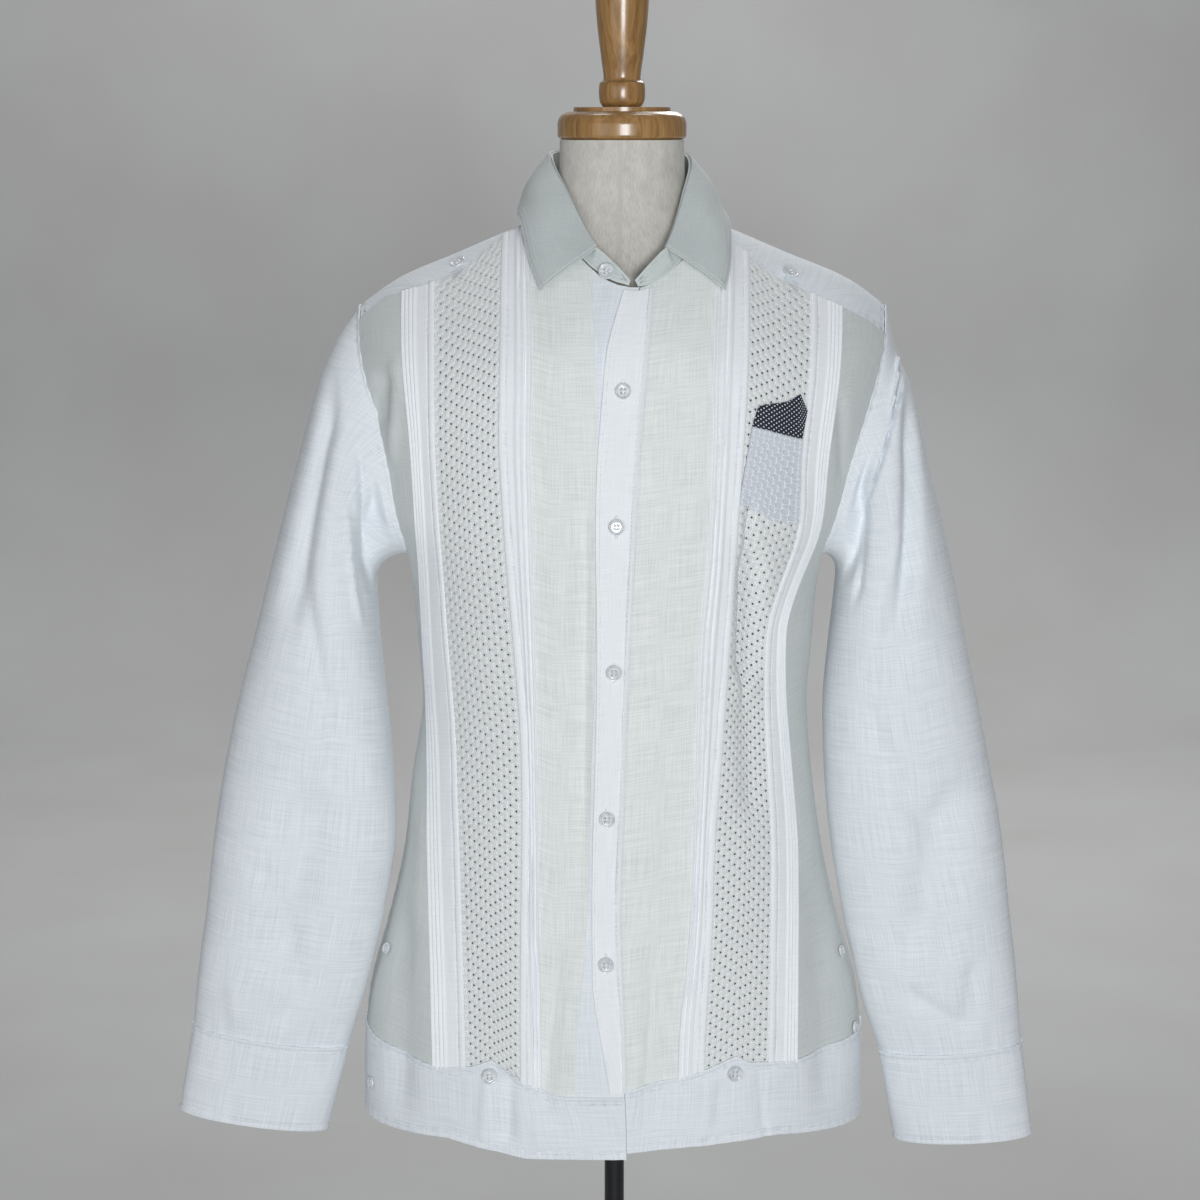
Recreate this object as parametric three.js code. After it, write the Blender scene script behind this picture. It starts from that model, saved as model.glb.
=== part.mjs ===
// A guayabera shirt standing on a limbless dress form. Millimetres, +Z up.
// The shirt's front faces -Y, and +X is the wearer's left. The origin is the centre of the base's underside.
import * as THREE from 'three';

// ---------------------------------------------------------------- driving dimensions
const CLOTH = 1.2; // wall thickness of every cloth piece
const SEAM_GAP = 0.3; // clear gap between two pieces at a seam
const LAYER = CLOTH + SEAM_GAP; // how far a piece that lies on another stands off the shirt's surface
const PLACKET_LIFT = LAYER + 0.9; // the placket rolls a little clear of the front under it
const PATCH_LIFT = LAYER + 0.5; // the pocket and the contrast piece on the lace
const UNDERARM_Z = 739;
const SHOULDER_Z = 937; // top of the armhole
const BACK_SEAM_Z = 905; // yoke seam across the back
const SHOULDER_ROUND = 120; // height over which the chest rounds over to the shoulder line
const SECTION_POWER = 2.4; // a body section is a superellipse of this power
const NECK_HOLE = { half: 65, front: 88, back: 66 }; // the neckline seen from above
const VENT_TOP_Z = 420;
const VENT_GAPE = 2.2; // degrees that a side vent's edge draws back at the hem
const BUTTON = { radius: 6, thickness: 2.6 };
const SMALL_BUTTON = { radius: 4.6, thickness: 2.2 };
const POLE_RADIUS = 8;
const BASE = { radius: 160, thickness: 10, edge: 3 };
const TORSO_BOTTOM_Z = 332;
const NECK_TOP_Z = 1063.7;

// ---------------------------------------------------------------- tables, each row at one height or station
const BODY = [
  { z: 270, half: 202, front: 118, back: 112, spine: -1 },
  { z: 345, half: 201, front: 118, back: 112, spine: -1 },
  { z: 390, half: 196, front: 118, back: 111, spine: -1 },
  { z: 440, half: 182, front: 117, back: 108, spine: -1 },
  { z: 500, half: 168, front: 116, back: 104, spine: -1 },
  { z: 560, half: 160, front: 115, back: 101, spine: -2 },
  { z: 620, half: 153, front: 116, back: 100, spine: 0 },
  { z: 670, half: 156, front: 120, back: 103, spine: 0 },
  { z: 739, half: 163, front: 125, back: 111, spine: 0 },
  { z: 775, half: 179, front: 122, back: 115, spine: 1 },
  { z: 815, half: 189, front: 119, back: 117, spine: 3 },
  { z: 850, half: 199, front: 116, back: 116, spine: 4 },
  { z: 900, half: 213, front: 108, back: 110, spine: 5 },
  { z: 940, half: 217, front: 101, back: 104, spine: 6 },
  { z: 1020, half: 220, front: 92, back: 92, spine: 5 },
];
// The shoulder line's height across the shirt, and the height that the back rises to behind the neck.
const RIDGE = [
  { x: 0, z: 1018, back: 1056 },
  { x: 40, z: 1012, back: 1030 },
  { x: 65, z: 1004, back: 1004 },
  { x: 90, z: 994, back: 994 },
  { x: 130, z: 977, back: 977 },
  { x: 175, z: 958, back: 958 },
  { x: 205, z: 937, back: 937 },
  { x: 240, z: 905, back: 905 },
];
// The angle round the body at which the armhole seam lies, from 0 at centre front to 90 at the side.
const ARMHOLE = [
  { z: 739, angle: 90 },
  { z: 745, angle: 82 },
  { z: 757, angle: 75 },
  { z: 780, angle: 70 },
  { z: 960, angle: 70 },
];
// Where each front's pieces meet, across the front: strip (button stand or placket), centre panel, inner tucks, lace,
// outer tucks, side panel.
const RIGHT_FRONT = [
  { z: 270, strip: -31, centre: -58, innerTucks: -74, lace: -116, outerTucks: -143 },
  { z: 364, strip: -30.5, centre: -59, innerTucks: -74, lace: -117, outerTucks: -144 },
  { z: 461, strip: -22.5, centre: -59, innerTucks: -73, lace: -119.5, outerTucks: -146 },
  { z: 596, strip: -18, centre: -60, innerTucks: -72, lace: -123, outerTucks: -147 },
  { z: 689, strip: -15, centre: -61, innerTucks: -78, lace: -129, outerTucks: -150 },
  { z: 827, strip: -14, centre: -64, innerTucks: -87.5, lace: -136.5, outerTucks: -156 },
  { z: 902, strip: -16, centre: -63, innerTucks: -87, lace: -137.5, outerTucks: -163 },
  { z: 1010, strip: -18, centre: -66, innerTucks: -87, lace: -140, outerTucks: -167 },
];
const LEFT_FRONT = [
  { z: 270, strip: 9, centre: 49, innerTucks: 70, lace: 119, outerTucks: 143 },
  { z: 364, strip: 8, centre: 50, innerTucks: 70, lace: 120, outerTucks: 143.5 },
  { z: 461, strip: 4, centre: 57, innerTucks: 75, lace: 121.5, outerTucks: 143.5 },
  { z: 525, strip: 5, centre: 60, innerTucks: 77, lace: 121.5, outerTucks: 142 },
  { z: 689, strip: 11, centre: 64, innerTucks: 88, lace: 116, outerTucks: 131 },
  { z: 766, strip: 14.5, centre: 70, innerTucks: 92, lace: 139, outerTucks: 156.5 },
  { z: 827, strip: 18, centre: 73, innerTucks: 96, lace: 141, outerTucks: 163 },
  { z: 902, strip: 24, centre: 74, innerTucks: 100, lace: 148, outerTucks: 172 },
  { z: 1010, strip: 33, centre: 80, innerTucks: 103, lace: 151, outerTucks: 177 },
];
// The front opening's visible edge: the left front laps over the right.
const PLACKET_EDGE = [
  { z: 270, x: -2 },
  { z: 330, x: -4 },
  { z: 364, x: -9.5 },
  { z: 424, x: -17.5 },
  { z: 658, x: -13.5 },
  { z: 812, x: -14 },
  { z: 879, x: -9.5 },
  { z: 910, x: -6 },
  { z: 954, x: 7 },
];
const RIGHT_YOKE_SEAM = [
  { x: -210, z: 916 },
  { x: -199, z: 925 },
  { x: -178, z: 942 },
  { x: -142, z: 953.5 },
  { x: -118.6, z: 963.4 },
  { x: -87, z: 989 },
  { x: -60, z: 1001 },
];
const LEFT_YOKE_SEAM = [
  { x: 60, z: 1001 },
  { x: 79, z: 993 },
  { x: 103, z: 975 },
  { x: 119.8, z: 960.2 },
  { x: 151, z: 946 },
  { x: 177.5, z: 934 },
  { x: 197, z: 924 },
  { x: 220, z: 904 },
];
// The hem band's upper edge, which rises to a point on each front, and the hem itself.
const RIGHT_BAND_SEAM = [
  { x: -203, z: 357 },
  { x: -170, z: 348 },
  { x: -140, z: 343 },
  { x: -111, z: 347 },
  { x: -95.5, z: 354 },
  { x: -80, z: 340 },
  { x: -50, z: 326 },
  { x: 12, z: 326 },
];
const LEFT_BAND_SEAM = [
  { x: -12, z: 327 },
  { x: 49, z: 340.5 },
  { x: 72, z: 348 },
  { x: 94.5, z: 357 },
  { x: 104, z: 351 },
  { x: 141, z: 348 },
  { x: 203, z: 355 },
];
const RIGHT_HEM = [
  { x: -203, z: 284 },
  { x: -132, z: 287 },
  { x: -70, z: 276 },
  { x: 12, z: 276 },
];
const LEFT_HEM = [
  { x: -12, z: 279 },
  { x: 58, z: 286 },
  { x: 128, z: 290 },
  { x: 203, z: 282 },
];
const BACK_BAND_SEAM_Z = 340;
const BACK_HEM_Z = 281;
// Soft troughs (depth below 0) and ridges in the body cloth. Each runs from one point to another on the front or back.
const BODY_FOLDS = [
  { face: 'front', x0: -25, z0: 840, x1: -29, z1: 460, half: 9, depth: -4 },
  { face: 'front', x0: -45, z0: 455, x1: -60, z1: 300, half: 11, depth: -5 },
  { face: 'front', x0: 103, z0: 762, x1: 101, z1: 650, half: 9, depth: -9 },
  { face: 'front', x0: 101, z0: 650, x1: 108, z1: 540, half: 10, depth: -4 },
  { face: 'front', x0: -176, z0: 890, x1: -183, z1: 845, half: 9, depth: -4 },
  { face: 'front', x0: -84, z0: 350, x1: -86, z1: 280, half: 8, depth: -5 },
  { face: 'front', x0: 42, z0: 420, x1: 34, z1: 280, half: 12, depth: -4 },
  { face: 'front', x0: 160, z0: 520, x1: 170, z1: 290, half: 13, depth: -5 },
  { face: 'front', x0: -166, z0: 470, x1: -171, z1: 290, half: 11, depth: -5 },
  { face: 'back', x0: -120, z0: 860, x1: -96, z1: 300, half: 17, depth: -10 },
  { face: 'back', x0: -52, z0: 640, x1: -40, z1: 290, half: 15, depth: -8 },
  { face: 'back', x0: 58, z0: 700, x1: 36, z1: 300, half: 16, depth: -9 },
  { face: 'back', x0: 126, z0: 850, x1: 104, z1: 290, half: 18, depth: -11 },
];
// A sleeve's stations: outermost and innermost point seen from the front, half depth, and how far forward it hangs.
const RIGHT_SLEEVE = [
  { outX: -204, outZ: 937, inX: -163, inZ: 739, depth: 50, forward: 0 },
  { outX: -219, outZ: 912, inX: -176, inZ: 737, depth: 52, forward: 2 },
  { outX: -233, outZ: 876, inX: -188, inZ: 727, depth: 55, forward: 5 },
  { outX: -246, outZ: 828, inX: -189, inZ: 702, depth: 57, forward: 9 },
  { outX: -260, outZ: 778, inX: -186, inZ: 668, depth: 56, forward: 14 },
  { outX: -281, outZ: 694, inX: -181, inZ: 621, depth: 51, forward: 20 },
  { outX: -303, outZ: 606, inX: -176, inZ: 562, depth: 46, forward: 26 },
  { outX: -318, outZ: 530, inX: -176, inZ: 510, depth: 42, forward: 30 },
  { outX: -327, outZ: 460, inX: -186, inZ: 448, depth: 38, forward: 31 },
  { outX: -335, outZ: 405, inX: -200, inZ: 392, depth: 33, forward: 31 },
  { outX: -340, outZ: 359, inX: -216, inZ: 341, depth: 26, forward: 30 },
];
const LEFT_SLEEVE = [
  { outX: 211, outZ: 937, inX: 163, inZ: 739, depth: 50, forward: 0 },
  { outX: 221, outZ: 900, inX: 171, inZ: 737, depth: 52, forward: 2 },
  { outX: 234, outZ: 868, inX: 176, inZ: 727, depth: 55, forward: 5 },
  { outX: 247, outZ: 814, inX: 174, inZ: 702, depth: 57, forward: 9 },
  { outX: 259, outZ: 764, inX: 170, inZ: 668, depth: 56, forward: 14 },
  { outX: 276, outZ: 682, inX: 166, inZ: 615, depth: 51, forward: 20 },
  { outX: 298, outZ: 578, inX: 168, inZ: 552, depth: 46, forward: 26 },
  { outX: 308, outZ: 524, inX: 175, inZ: 498, depth: 42, forward: 30 },
  { outX: 317, outZ: 452, inX: 187, inZ: 437, depth: 38, forward: 31 },
  { outX: 324, outZ: 396, inX: 199, inZ: 384, depth: 33, forward: 31 },
  { outX: 329, outZ: 344, inX: 215, inZ: 337, depth: 26, forward: 30 },
];
// Sleeve folds: angle is 0 on the outer edge and 90 at the front, along is 0 at the armhole and 1 at the cuff.
const RIGHT_SLEEVE_FOLDS = [
  { angle0: 52, along0: 0.12, angle1: 60, along1: 0.5, half: 12, depth: -6 },
  { angle0: 118, along0: 0.06, angle1: 150, along1: 0.3, half: 12, depth: -8 },
  { angle0: 96, along0: 0.62, angle1: 84, along1: 0.9, half: 13, depth: -6 },
  { angle0: 250, along0: 0.1, angle1: 275, along1: 0.55, half: 14, depth: -8 },
  { angle0: 300, along0: 0.5, angle1: 270, along1: 0.95, half: 13, depth: -6 },
];
const LEFT_SLEEVE_FOLDS = [
  { angle0: 30, along0: 0.16, angle1: 100, along1: 0.5, half: 12, depth: -7 },
  { angle0: 100, along0: 0.07, angle1: 140, along1: 0.28, half: 12, depth: -8 },
  { angle0: 60, along0: 0.6, angle1: 110, along1: 0.85, half: 13, depth: -6 },
  { angle0: 245, along0: 0.12, angle1: 280, along1: 0.5, half: 14, depth: -8 },
  { angle0: 262, along0: 0.55, angle1: 290, along1: 0.95, half: 13, depth: -6 },
];
const CUFFS = {
  right: { outX: -352.5, outZ: 287, inX: -234, inZ: 270, depth: 22, forward: 30 },
  left: { outX: 339, outZ: 266, inX: 228.5, inZ: 262, depth: 22, forward: 30 },
};
// The collar, from its front end to centre back: where it is sewn to the shirt (base), its fold, and the leaf's edge.
const COLLAR = [
  { turn: 30, foldX: 26, foldY: -81, foldZ: 985, edgeX: 70, edgeY: -92, edgeZ: 953 },
  { turn: 44, foldX: 35, foldY: -63, foldZ: 1001, edgeX: 77, edgeY: -70, edgeZ: 974 },
  { turn: 62, foldX: 45, foldY: -40, foldZ: 1024, edgeX: 81, edgeY: -37, edgeZ: 1001 },
  { turn: 90, foldX: 55, foldY: -6, foldZ: 1049, edgeX: 81, edgeY: 0, edgeZ: 1007 },
  { turn: 135, foldX: 46, foldY: 38, foldZ: 1056, edgeX: 68, edgeY: 50, edgeZ: 1007 },
  { turn: 180, foldX: 0, foldY: 60, foldZ: 1058, edgeX: 0, edgeY: 88, edgeZ: 1010 },
];
// The stand's front tab, from its rounded end to the leaf's front corner.
const STAND_TAB = [
  { turn: 3, topX: 1.5, topY: -88, topZ: 960 },
  { turn: 12, topX: 12, topY: -86.5, topZ: 972 },
  { turn: 21, topX: 20, topY: -83, topZ: 980 },
];
const STAND_INSET = 3; // the stand's top lies inside the fold
const COLLAR_CENTRE = { x: 4, lean: 0.1 }; // the collar's front sits a little towards the wearer's left
// The dress form's sections, and turned profiles as radius at height.
const FORM = [
  { z: TORSO_BOTTOM_Z, half: 150, front: 88, back: 84 },
  { z: 345, half: 160, front: 95, back: 90 },
  { z: 400, half: 163, front: 97, back: 92 },
  { z: 500, half: 152, front: 93, back: 88 },
  { z: 560, half: 146, front: 90, back: 86 },
  { z: 620, half: 138, front: 88, back: 84 },
  { z: 700, half: 144, front: 98, back: 90 },
  { z: 780, half: 154, front: 106, back: 97 },
  { z: 850, half: 166, front: 98, back: 96 },
  { z: 895, half: 170, front: 82, back: 86 },
  { z: 925, half: 160, front: 66, back: 74 },
  { z: 948, half: 128, front: 60, back: 66 },
  { z: 970, half: 92, front: 56, back: 60 },
  { z: 990, half: 66, front: 53, back: 56 },
  { z: 1010, half: 54, front: 49, back: 51 },
  { z: 1035, half: 49.5, front: 48, back: 48 },
  { z: NECK_TOP_Z, half: 48.2, front: 48, back: 48 },
];
const NECK_CAP = [
  { radius: 47, z: 1064 },
  { radius: 50.2, z: 1067 },
  { radius: 50.2, z: 1076 },
  { radius: 48, z: 1082 },
  { radius: 43, z: 1085 },
  { radius: 37.7, z: 1085.5 },
  { radius: 37.7, z: 1088.6 },
];
const FINIAL = [
  { radius: 15, z: 1088.9 },
  { radius: 17.3, z: 1093 },
  { radius: 18, z: 1100 },
  { radius: 17.3, z: 1107 },
  { radius: 14.4, z: 1111 },
  { radius: 16.5, z: 1128 },
  { radius: 19.2, z: 1150 },
  { radius: 20.8, z: 1172 },
  { radius: 20.6, z: 1190 },
  { radius: 17.5, z: 1203 },
  { radius: 9, z: 1211 },
];
// The pocket and the contrast piece that shows above it: each row is one upright line of the piece.
const POCKET = [
  { lowX: 92.5, lowZ: 793, topX: 102, topZ: 851 },
  { lowX: 106, lowZ: 787.5, topX: 115, topZ: 847.5 },
  { lowX: 119, lowZ: 779, topX: 128, topZ: 843.5 },
  { lowX: 138, lowZ: 774.5, topX: 140.5, topZ: 840 },
];
const CONTRAST_PIECE = [
  { lowX: 102, lowZ: 851.5, topX: 107, topZ: 866.5 },
  { lowX: 115, lowZ: 848, topX: 119, topZ: 868 },
  { lowX: 128, lowZ: 844, topX: 129, topZ: 868.8 },
  { lowX: 137, lowZ: 841.5, topX: 139.5, topZ: 874 },
  { lowX: 140.5, lowZ: 840.5, topX: 144.5, topZ: 861.5 },
];
const PLACKET_BUTTONS = [
  { x: 5.5, z: 878 },
  { x: 0.5, z: 777 },
  { x: -1.2, z: 666 },
  { x: -6.3, z: 550 },
  { x: -7.2, z: 435 },
];
const FRONT_BUTTONS = [
  { name: 'button_yoke_right', x: -120, z: 968 },
  { name: 'button_yoke_left', x: 134, z: 961 },
  { name: 'button_hem_right', x: -98, z: 342 },
  { name: 'button_hem_left', x: 93, z: 344 },
];
const VENT_BUTTONS = [
  { name: 'button_vent_right_upper', side: -1, z: 424 },
  { name: 'button_vent_right_lower', side: -1, z: 314 },
  { name: 'button_vent_left_upper', side: 1, z: 422 },
  { name: 'button_vent_left_lower', side: 1, z: 360 },
];

// ---------------------------------------------------------------- finishes
const finish = (color, roughness, metalness = 0) => new THREE.MeshStandardMaterial({ color, roughness, metalness });
const WHITE_LINEN = finish(0xe9edf0, 0.85);
const IVORY_LINEN = finish(0xdfe2dc, 0.85);
const SIDE_COTTON = finish(0xd9dddd, 0.85);
const TUCKED_COTTON = finish(0xeef0f4, 0.8);
const LACE = finish(0xdcdedd, 0.9);
const COLLAR_COTTON = finish(0xd8dfdf, 0.8);
const DARK_DOTTED = finish(0x1d2130, 0.8);
const PEARL = finish(0xdfe3e8, 0.25);
const FORM_JERSEY = finish(0xcfcac2, 0.95);
const TURNED_WOOD = finish(0xb98a50, 0.45);
const BLACK_STEEL = finish(0x191a1c, 0.45, 0.6);

// ---------------------------------------------------------------- reading the tables
/** A value between a table's rows, on a smooth curve that holds its first and last values. */
function smooth(table, column, at, key = 'z') {
  const last = table.length - 1;
  if (at <= table[0][key]) return table[0][column];
  if (at >= table[last][key]) return table[last][column];
  const i = table.findIndex((row) => row[key] > at) - 1;
  const slope = (k) => {
    const a = table[Math.max(k - 1, 0)];
    const b = table[Math.min(k + 1, last)];
    return (b[column] - a[column]) / (b[key] - a[key]);
  };
  const [p, q] = [table[i], table[i + 1]];
  const span = q[key] - p[key];
  const t = (at - p[key]) / span;
  const [t2, t3] = [t * t, t * t * t];
  return (
    p[column] * (2 * t3 - 3 * t2 + 1) +
    slope(i) * span * (t3 - 2 * t2 + t) +
    q[column] * (3 * t2 - 2 * t3) +
    slope(i + 1) * span * (t3 - t2)
  );
}

/** A value between a table's rows, on straight lines. */
function straight(table, column, at, key = 'z') {
  const last = table.length - 1;
  if (at <= table[0][key]) return table[0][column];
  if (at >= table[last][key]) return table[last][column];
  const i = table.findIndex((row) => row[key] > at) - 1;
  const t = (at - table[i][key]) / (table[i + 1][key] - table[i][key]);
  return mix(table[i][column], table[i + 1][column], t);
}

/** A value at a share of the way along a table whose rows are evenly spaced stations. */
function station(table, column, share) {
  const numbered = table.map((row, i) => ({ at: i / (table.length - 1), value: row[column] }));
  return smooth(numbered, 'value', share, 'at');
}

const mix = (a, b, t) => a + (b - a) * t;
const ease = (t) => t * t * (3 - 2 * t);
const clamp = (t) => Math.min(1, Math.max(0, t));
const steps = (from, to, count) => Array.from({ length: count + 1 }, (_, i) => mix(from, to, i / count));

// ---------------------------------------------------------------- the shirt's surface
const spine = (z) => smooth(BODY, 'spine', z);
const half = (z) => smooth(BODY, 'half', z);
const ridge = (x, face) => smooth(RIDGE, face === 'back' ? 'back' : 'z', Math.abs(x), 'x');

/** How far round the section's edge a point is: 1 at the centre line, 0 at the side. */
const roundness = (share) => Math.max(0, 1 - Math.abs(share) ** SECTION_POWER) ** (1 / SECTION_POWER);

/** The share of the full depth left at a drop below the shoulder line. */
function overShoulder(drop) {
  const t = clamp(drop / SHOULDER_ROUND);
  return Math.sqrt(1 - (1 - t) ** 2);
}

/** Nearness of a point to a fold's line, from 0 to 1, fading at the line's ends. */
function nearFold(u, v, u0, v0, u1, v1, reach) {
  const [du, dv] = [u1 - u0, v1 - v0];
  const t = ((u - u0) * du + (v - v0) * dv) / (du * du + dv * dv);
  const away = Math.hypot(u - u0 - clamp(t) * du, v - v0 - clamp(t) * dv) / reach;
  return Math.exp(-away * away) * ease(clamp(Math.min(t, 1 - t) * 4 + 0.15));
}

function bodyFold(face, x, z) {
  let depth = 0;
  for (const f of BODY_FOLDS) {
    if (f.face === face) depth += f.depth * nearFold(x, z, f.x0, f.z0, f.x1, f.z1, f.half);
  }
  return depth;
}

/** A point of the shirt's body: x from the origin, z up, on its front or back face. */
function bodyPoint(face, x, z) {
  const fromSpine = x - spine(z);
  const share = Math.max(-1, Math.min(1, fromSpine / half(z)));
  const drop = ridge(fromSpine, face) - z;
  const forward = face === 'front' ? -1 : 1;
  const y = forward * smooth(BODY, face, z) * roundness(share) * overShoulder(drop);
  const out = new THREE.Vector3(share * 0.8, forward, 0).normalize();
  const fade = ease(clamp((1 - Math.abs(share)) * 9));
  return new THREE.Vector3(x, y, z).addScaledVector(out, bodyFold(face, x, z) * fade);
}

/** x at an angle round the body, 0 at centre front or back and 90 at the side. */
const xAtAngle = (angle, z) =>
  spine(z) + Math.sign(angle) * half(z) * Math.abs(Math.sin(THREE.MathUtils.degToRad(angle))) ** (2 / SECTION_POWER);
/** The angle round the body at x. */
function angleAtX(x, z) {
  const share = clamp(Math.abs(x - spine(z)) / half(z));
  return Math.sign(x - spine(z)) * THREE.MathUtils.radToDeg(Math.asin(share ** (SECTION_POWER / 2)));
}

/** The angle of a panel's outer edge: the side seam below the underarm, the armhole seam above it. */
function outerAngle(z) {
  const vent = VENT_GAPE * clamp((VENT_TOP_Z - z) / (VENT_TOP_Z - BACK_HEM_Z));
  return smooth(ARMHOLE, 'angle', Math.max(z, UNDERARM_Z)) - vent;
}

/** The direction that faces away from the body at a point of its surface. */
function bodyNormal(face, x, z) {
  const [turn, rise] = [2, 4];
  const angle = angleAtX(x, z);
  const at = (a, height) => bodyPoint(face, xAtAngle(Math.max(-90, Math.min(90, a)), height), height);
  const across = at(angle + turn, z).sub(at(angle - turn, z));
  const up = at(angle, z + rise).sub(at(angle, z - rise));
  return across.cross(up).multiplyScalar(face === 'front' ? 1 : -1).normalize();
}

/** A point of the body with its outward direction, for the grid of a wall. */
function bodyGridPoint(face, x, z) {
  const p = bodyPoint(face, x, z);
  p.outward = bodyNormal(face, x, z);
  return p;
}

// ---------------------------------------------------------------- making cloth
/**
 * A closed wall of cloth on a grid of surface points. rows[j][i] is a point; the wall runs from `near` to `far` along
 * the surface's normal, and its free edges are drawn in by `trim` so that it stays clear of its neighbours.
 */
function wall(rows, { near = 0, far = CLOTH, trim = SEAM_GAP / 2, ring = false, flip = false } = {}) {
  const [nv, nu] = [rows.length, rows[0].length];
  const at = (j, i) => rows[Math.max(0, Math.min(nv - 1, j))][ring ? (i + nu) % nu : Math.max(0, Math.min(nu - 1, i))];
  const normals = rows.map((row, j) =>
    row.map((p, i) => {
      if (p.outward) return p.outward;
      const across = at(j, i + 1).clone().sub(at(j, i - 1));
      const up = at(j + 1, i).clone().sub(at(j - 1, i));
      return across.cross(up).multiplyScalar(flip ? -1 : 1).normalize();
    }),
  );
  const trimmed = rows.map((row, j) =>
    row.map((p, i) => {
      const q = p.clone();
      const draw = (to) => q.addScaledVector(to.clone().sub(p).normalize(), trim);
      if (!ring && i === 0) draw(at(j, 1));
      if (!ring && i === nu - 1) draw(at(j, nu - 2));
      if (j === 0) draw(at(1, i));
      if (j === nv - 1) draw(at(nv - 2, i));
      return q;
    }),
  );
  const positions = [];
  for (const offset of [near, far]) {
    for (let j = 0; j < nv; j += 1) {
      for (let i = 0; i < nu; i += 1) {
        const p = trimmed[j][i].clone().addScaledVector(normals[j][i], offset);
        positions.push(p.x, p.y, p.z);
      }
    }
  }
  const faces = [];
  const quad = (a, b, c, d) => (flip ? faces.push(a, c, b, a, d, c) : faces.push(a, b, c, a, c, d));
  const id = (layer, j, i) => layer * nv * nu + j * nu + (ring ? i % nu : i);
  const columns = ring ? nu : nu - 1;
  for (let j = 0; j < nv - 1; j += 1) {
    for (let i = 0; i < columns; i += 1) {
      quad(id(1, j, i), id(1, j, i + 1), id(1, j + 1, i + 1), id(1, j + 1, i));
      quad(id(0, j, i), id(0, j + 1, i), id(0, j + 1, i + 1), id(0, j, i + 1));
    }
  }
  for (let i = 0; i < columns; i += 1) {
    quad(id(0, 0, i), id(0, 0, i + 1), id(1, 0, i + 1), id(1, 0, i));
    quad(id(1, nv - 1, i), id(1, nv - 1, i + 1), id(0, nv - 1, i + 1), id(0, nv - 1, i));
  }
  for (let j = 0; !ring && j < nv - 1; j += 1) {
    quad(id(1, j, 0), id(1, j + 1, 0), id(0, j + 1, 0), id(0, j, 0));
    quad(id(0, j, nu - 1), id(0, j + 1, nu - 1), id(1, j + 1, nu - 1), id(1, j, nu - 1));
  }
  const geometry = new THREE.BufferGeometry();
  geometry.setAttribute('position', new THREE.Float32BufferAttribute(positions, 3));
  geometry.setIndex(faces);
  geometry.computeVertexNormals();
  return geometry;
}

const shirt = new THREE.Group();
function add(name, geometry, material) {
  const mesh = new THREE.Mesh(geometry, material);
  mesh.name = name;
  shirt.add(mesh);
  return mesh;
}

// ---------------------------------------------------------------- front and back panels
/** Settles z where an upright line of a panel meets a seam that is given as height across the shirt. */
function meet(seam, xAt) {
  let z = seam[0].z;
  for (let i = 0; i < 12; i += 1) z = straight(seam, 'z', xAt(z), 'x');
  return z;
}

/** Grid of a front panel between two upright edges, from the hem band's seam up to the yoke seam or neckline. */
function panelRows({ left, right, shares, rows, bottom, top }) {
  const uprights = shares.map((share) => {
    const xAt = (z) => {
      const [a, b] = [angleAtX(left(z), z), angleAtX(right(z), z)];
      return share === 0 ? left(z) : share === 1 ? right(z) : xAtAngle(mix(a, b, share), z);
    };
    return { xAt, low: bottom(xAt), high: top(xAt) };
  });
  return steps(0, 1, rows).map((t) =>
    uprights.map(({ xAt, low, high }) => {
      const z = mix(low, high, 1 - (1 - t) ** 1.35);
      return bodyGridPoint('front', xAt(z), z);
    }),
  );
}

/** Height of the neckline where it crosses x on the front. */
function necklineZ(x) {
  const centre = COLLAR_CENTRE.x + COLLAR_CENTRE.lean * 75;
  const depth = NECK_HOLE.front * Math.sqrt(Math.max(0, 1 - ((x - centre) / NECK_HOLE.half) ** 2));
  let z = 960;
  for (let i = 0; i < 12; i += 1) {
    const full = smooth(BODY, 'front', z) * roundness((x - spine(z)) / half(z));
    z = ridge(x - spine(z), 'front') - SHOULDER_ROUND * (1 - Math.sqrt(Math.max(0, 1 - (depth / full) ** 2)));
  }
  return z;
}

/** Where a front upright ends at the top: the neckline near the centre, the yoke seam further out. */
function frontTop(side) {
  const seam = side < 0 ? RIGHT_YOKE_SEAM : LEFT_YOKE_SEAM;
  return (xAt) => {
    let z = meet(seam, xAt);
    const centre = COLLAR_CENTRE.x + COLLAR_CENTRE.lean * 75;
    if (Math.abs(xAt(z) - centre) > NECK_HOLE.half - 5) return z;
    for (let i = 0; i < 8; i += 1) z = Math.min(necklineZ(xAt(z)), straight(seam, 'z', xAt(z), 'x'));
    return z;
  };
}

const HALVES = steps(0, 1, 2);
const THIRDS = steps(0, 1, 3);
const FIFTHS = steps(0, 1, 5);
// A line of each lace panel runs to the point of the hem band below it and to the corner of the yoke above it.
const LACE_SHARES = { right: [0, 0.25, 0.5, 0.63, 0.82, 1], left: [0, 0.2, 0.41, 0.5, 0.75, 1] };
const PANEL_ROWS = 14;

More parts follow.
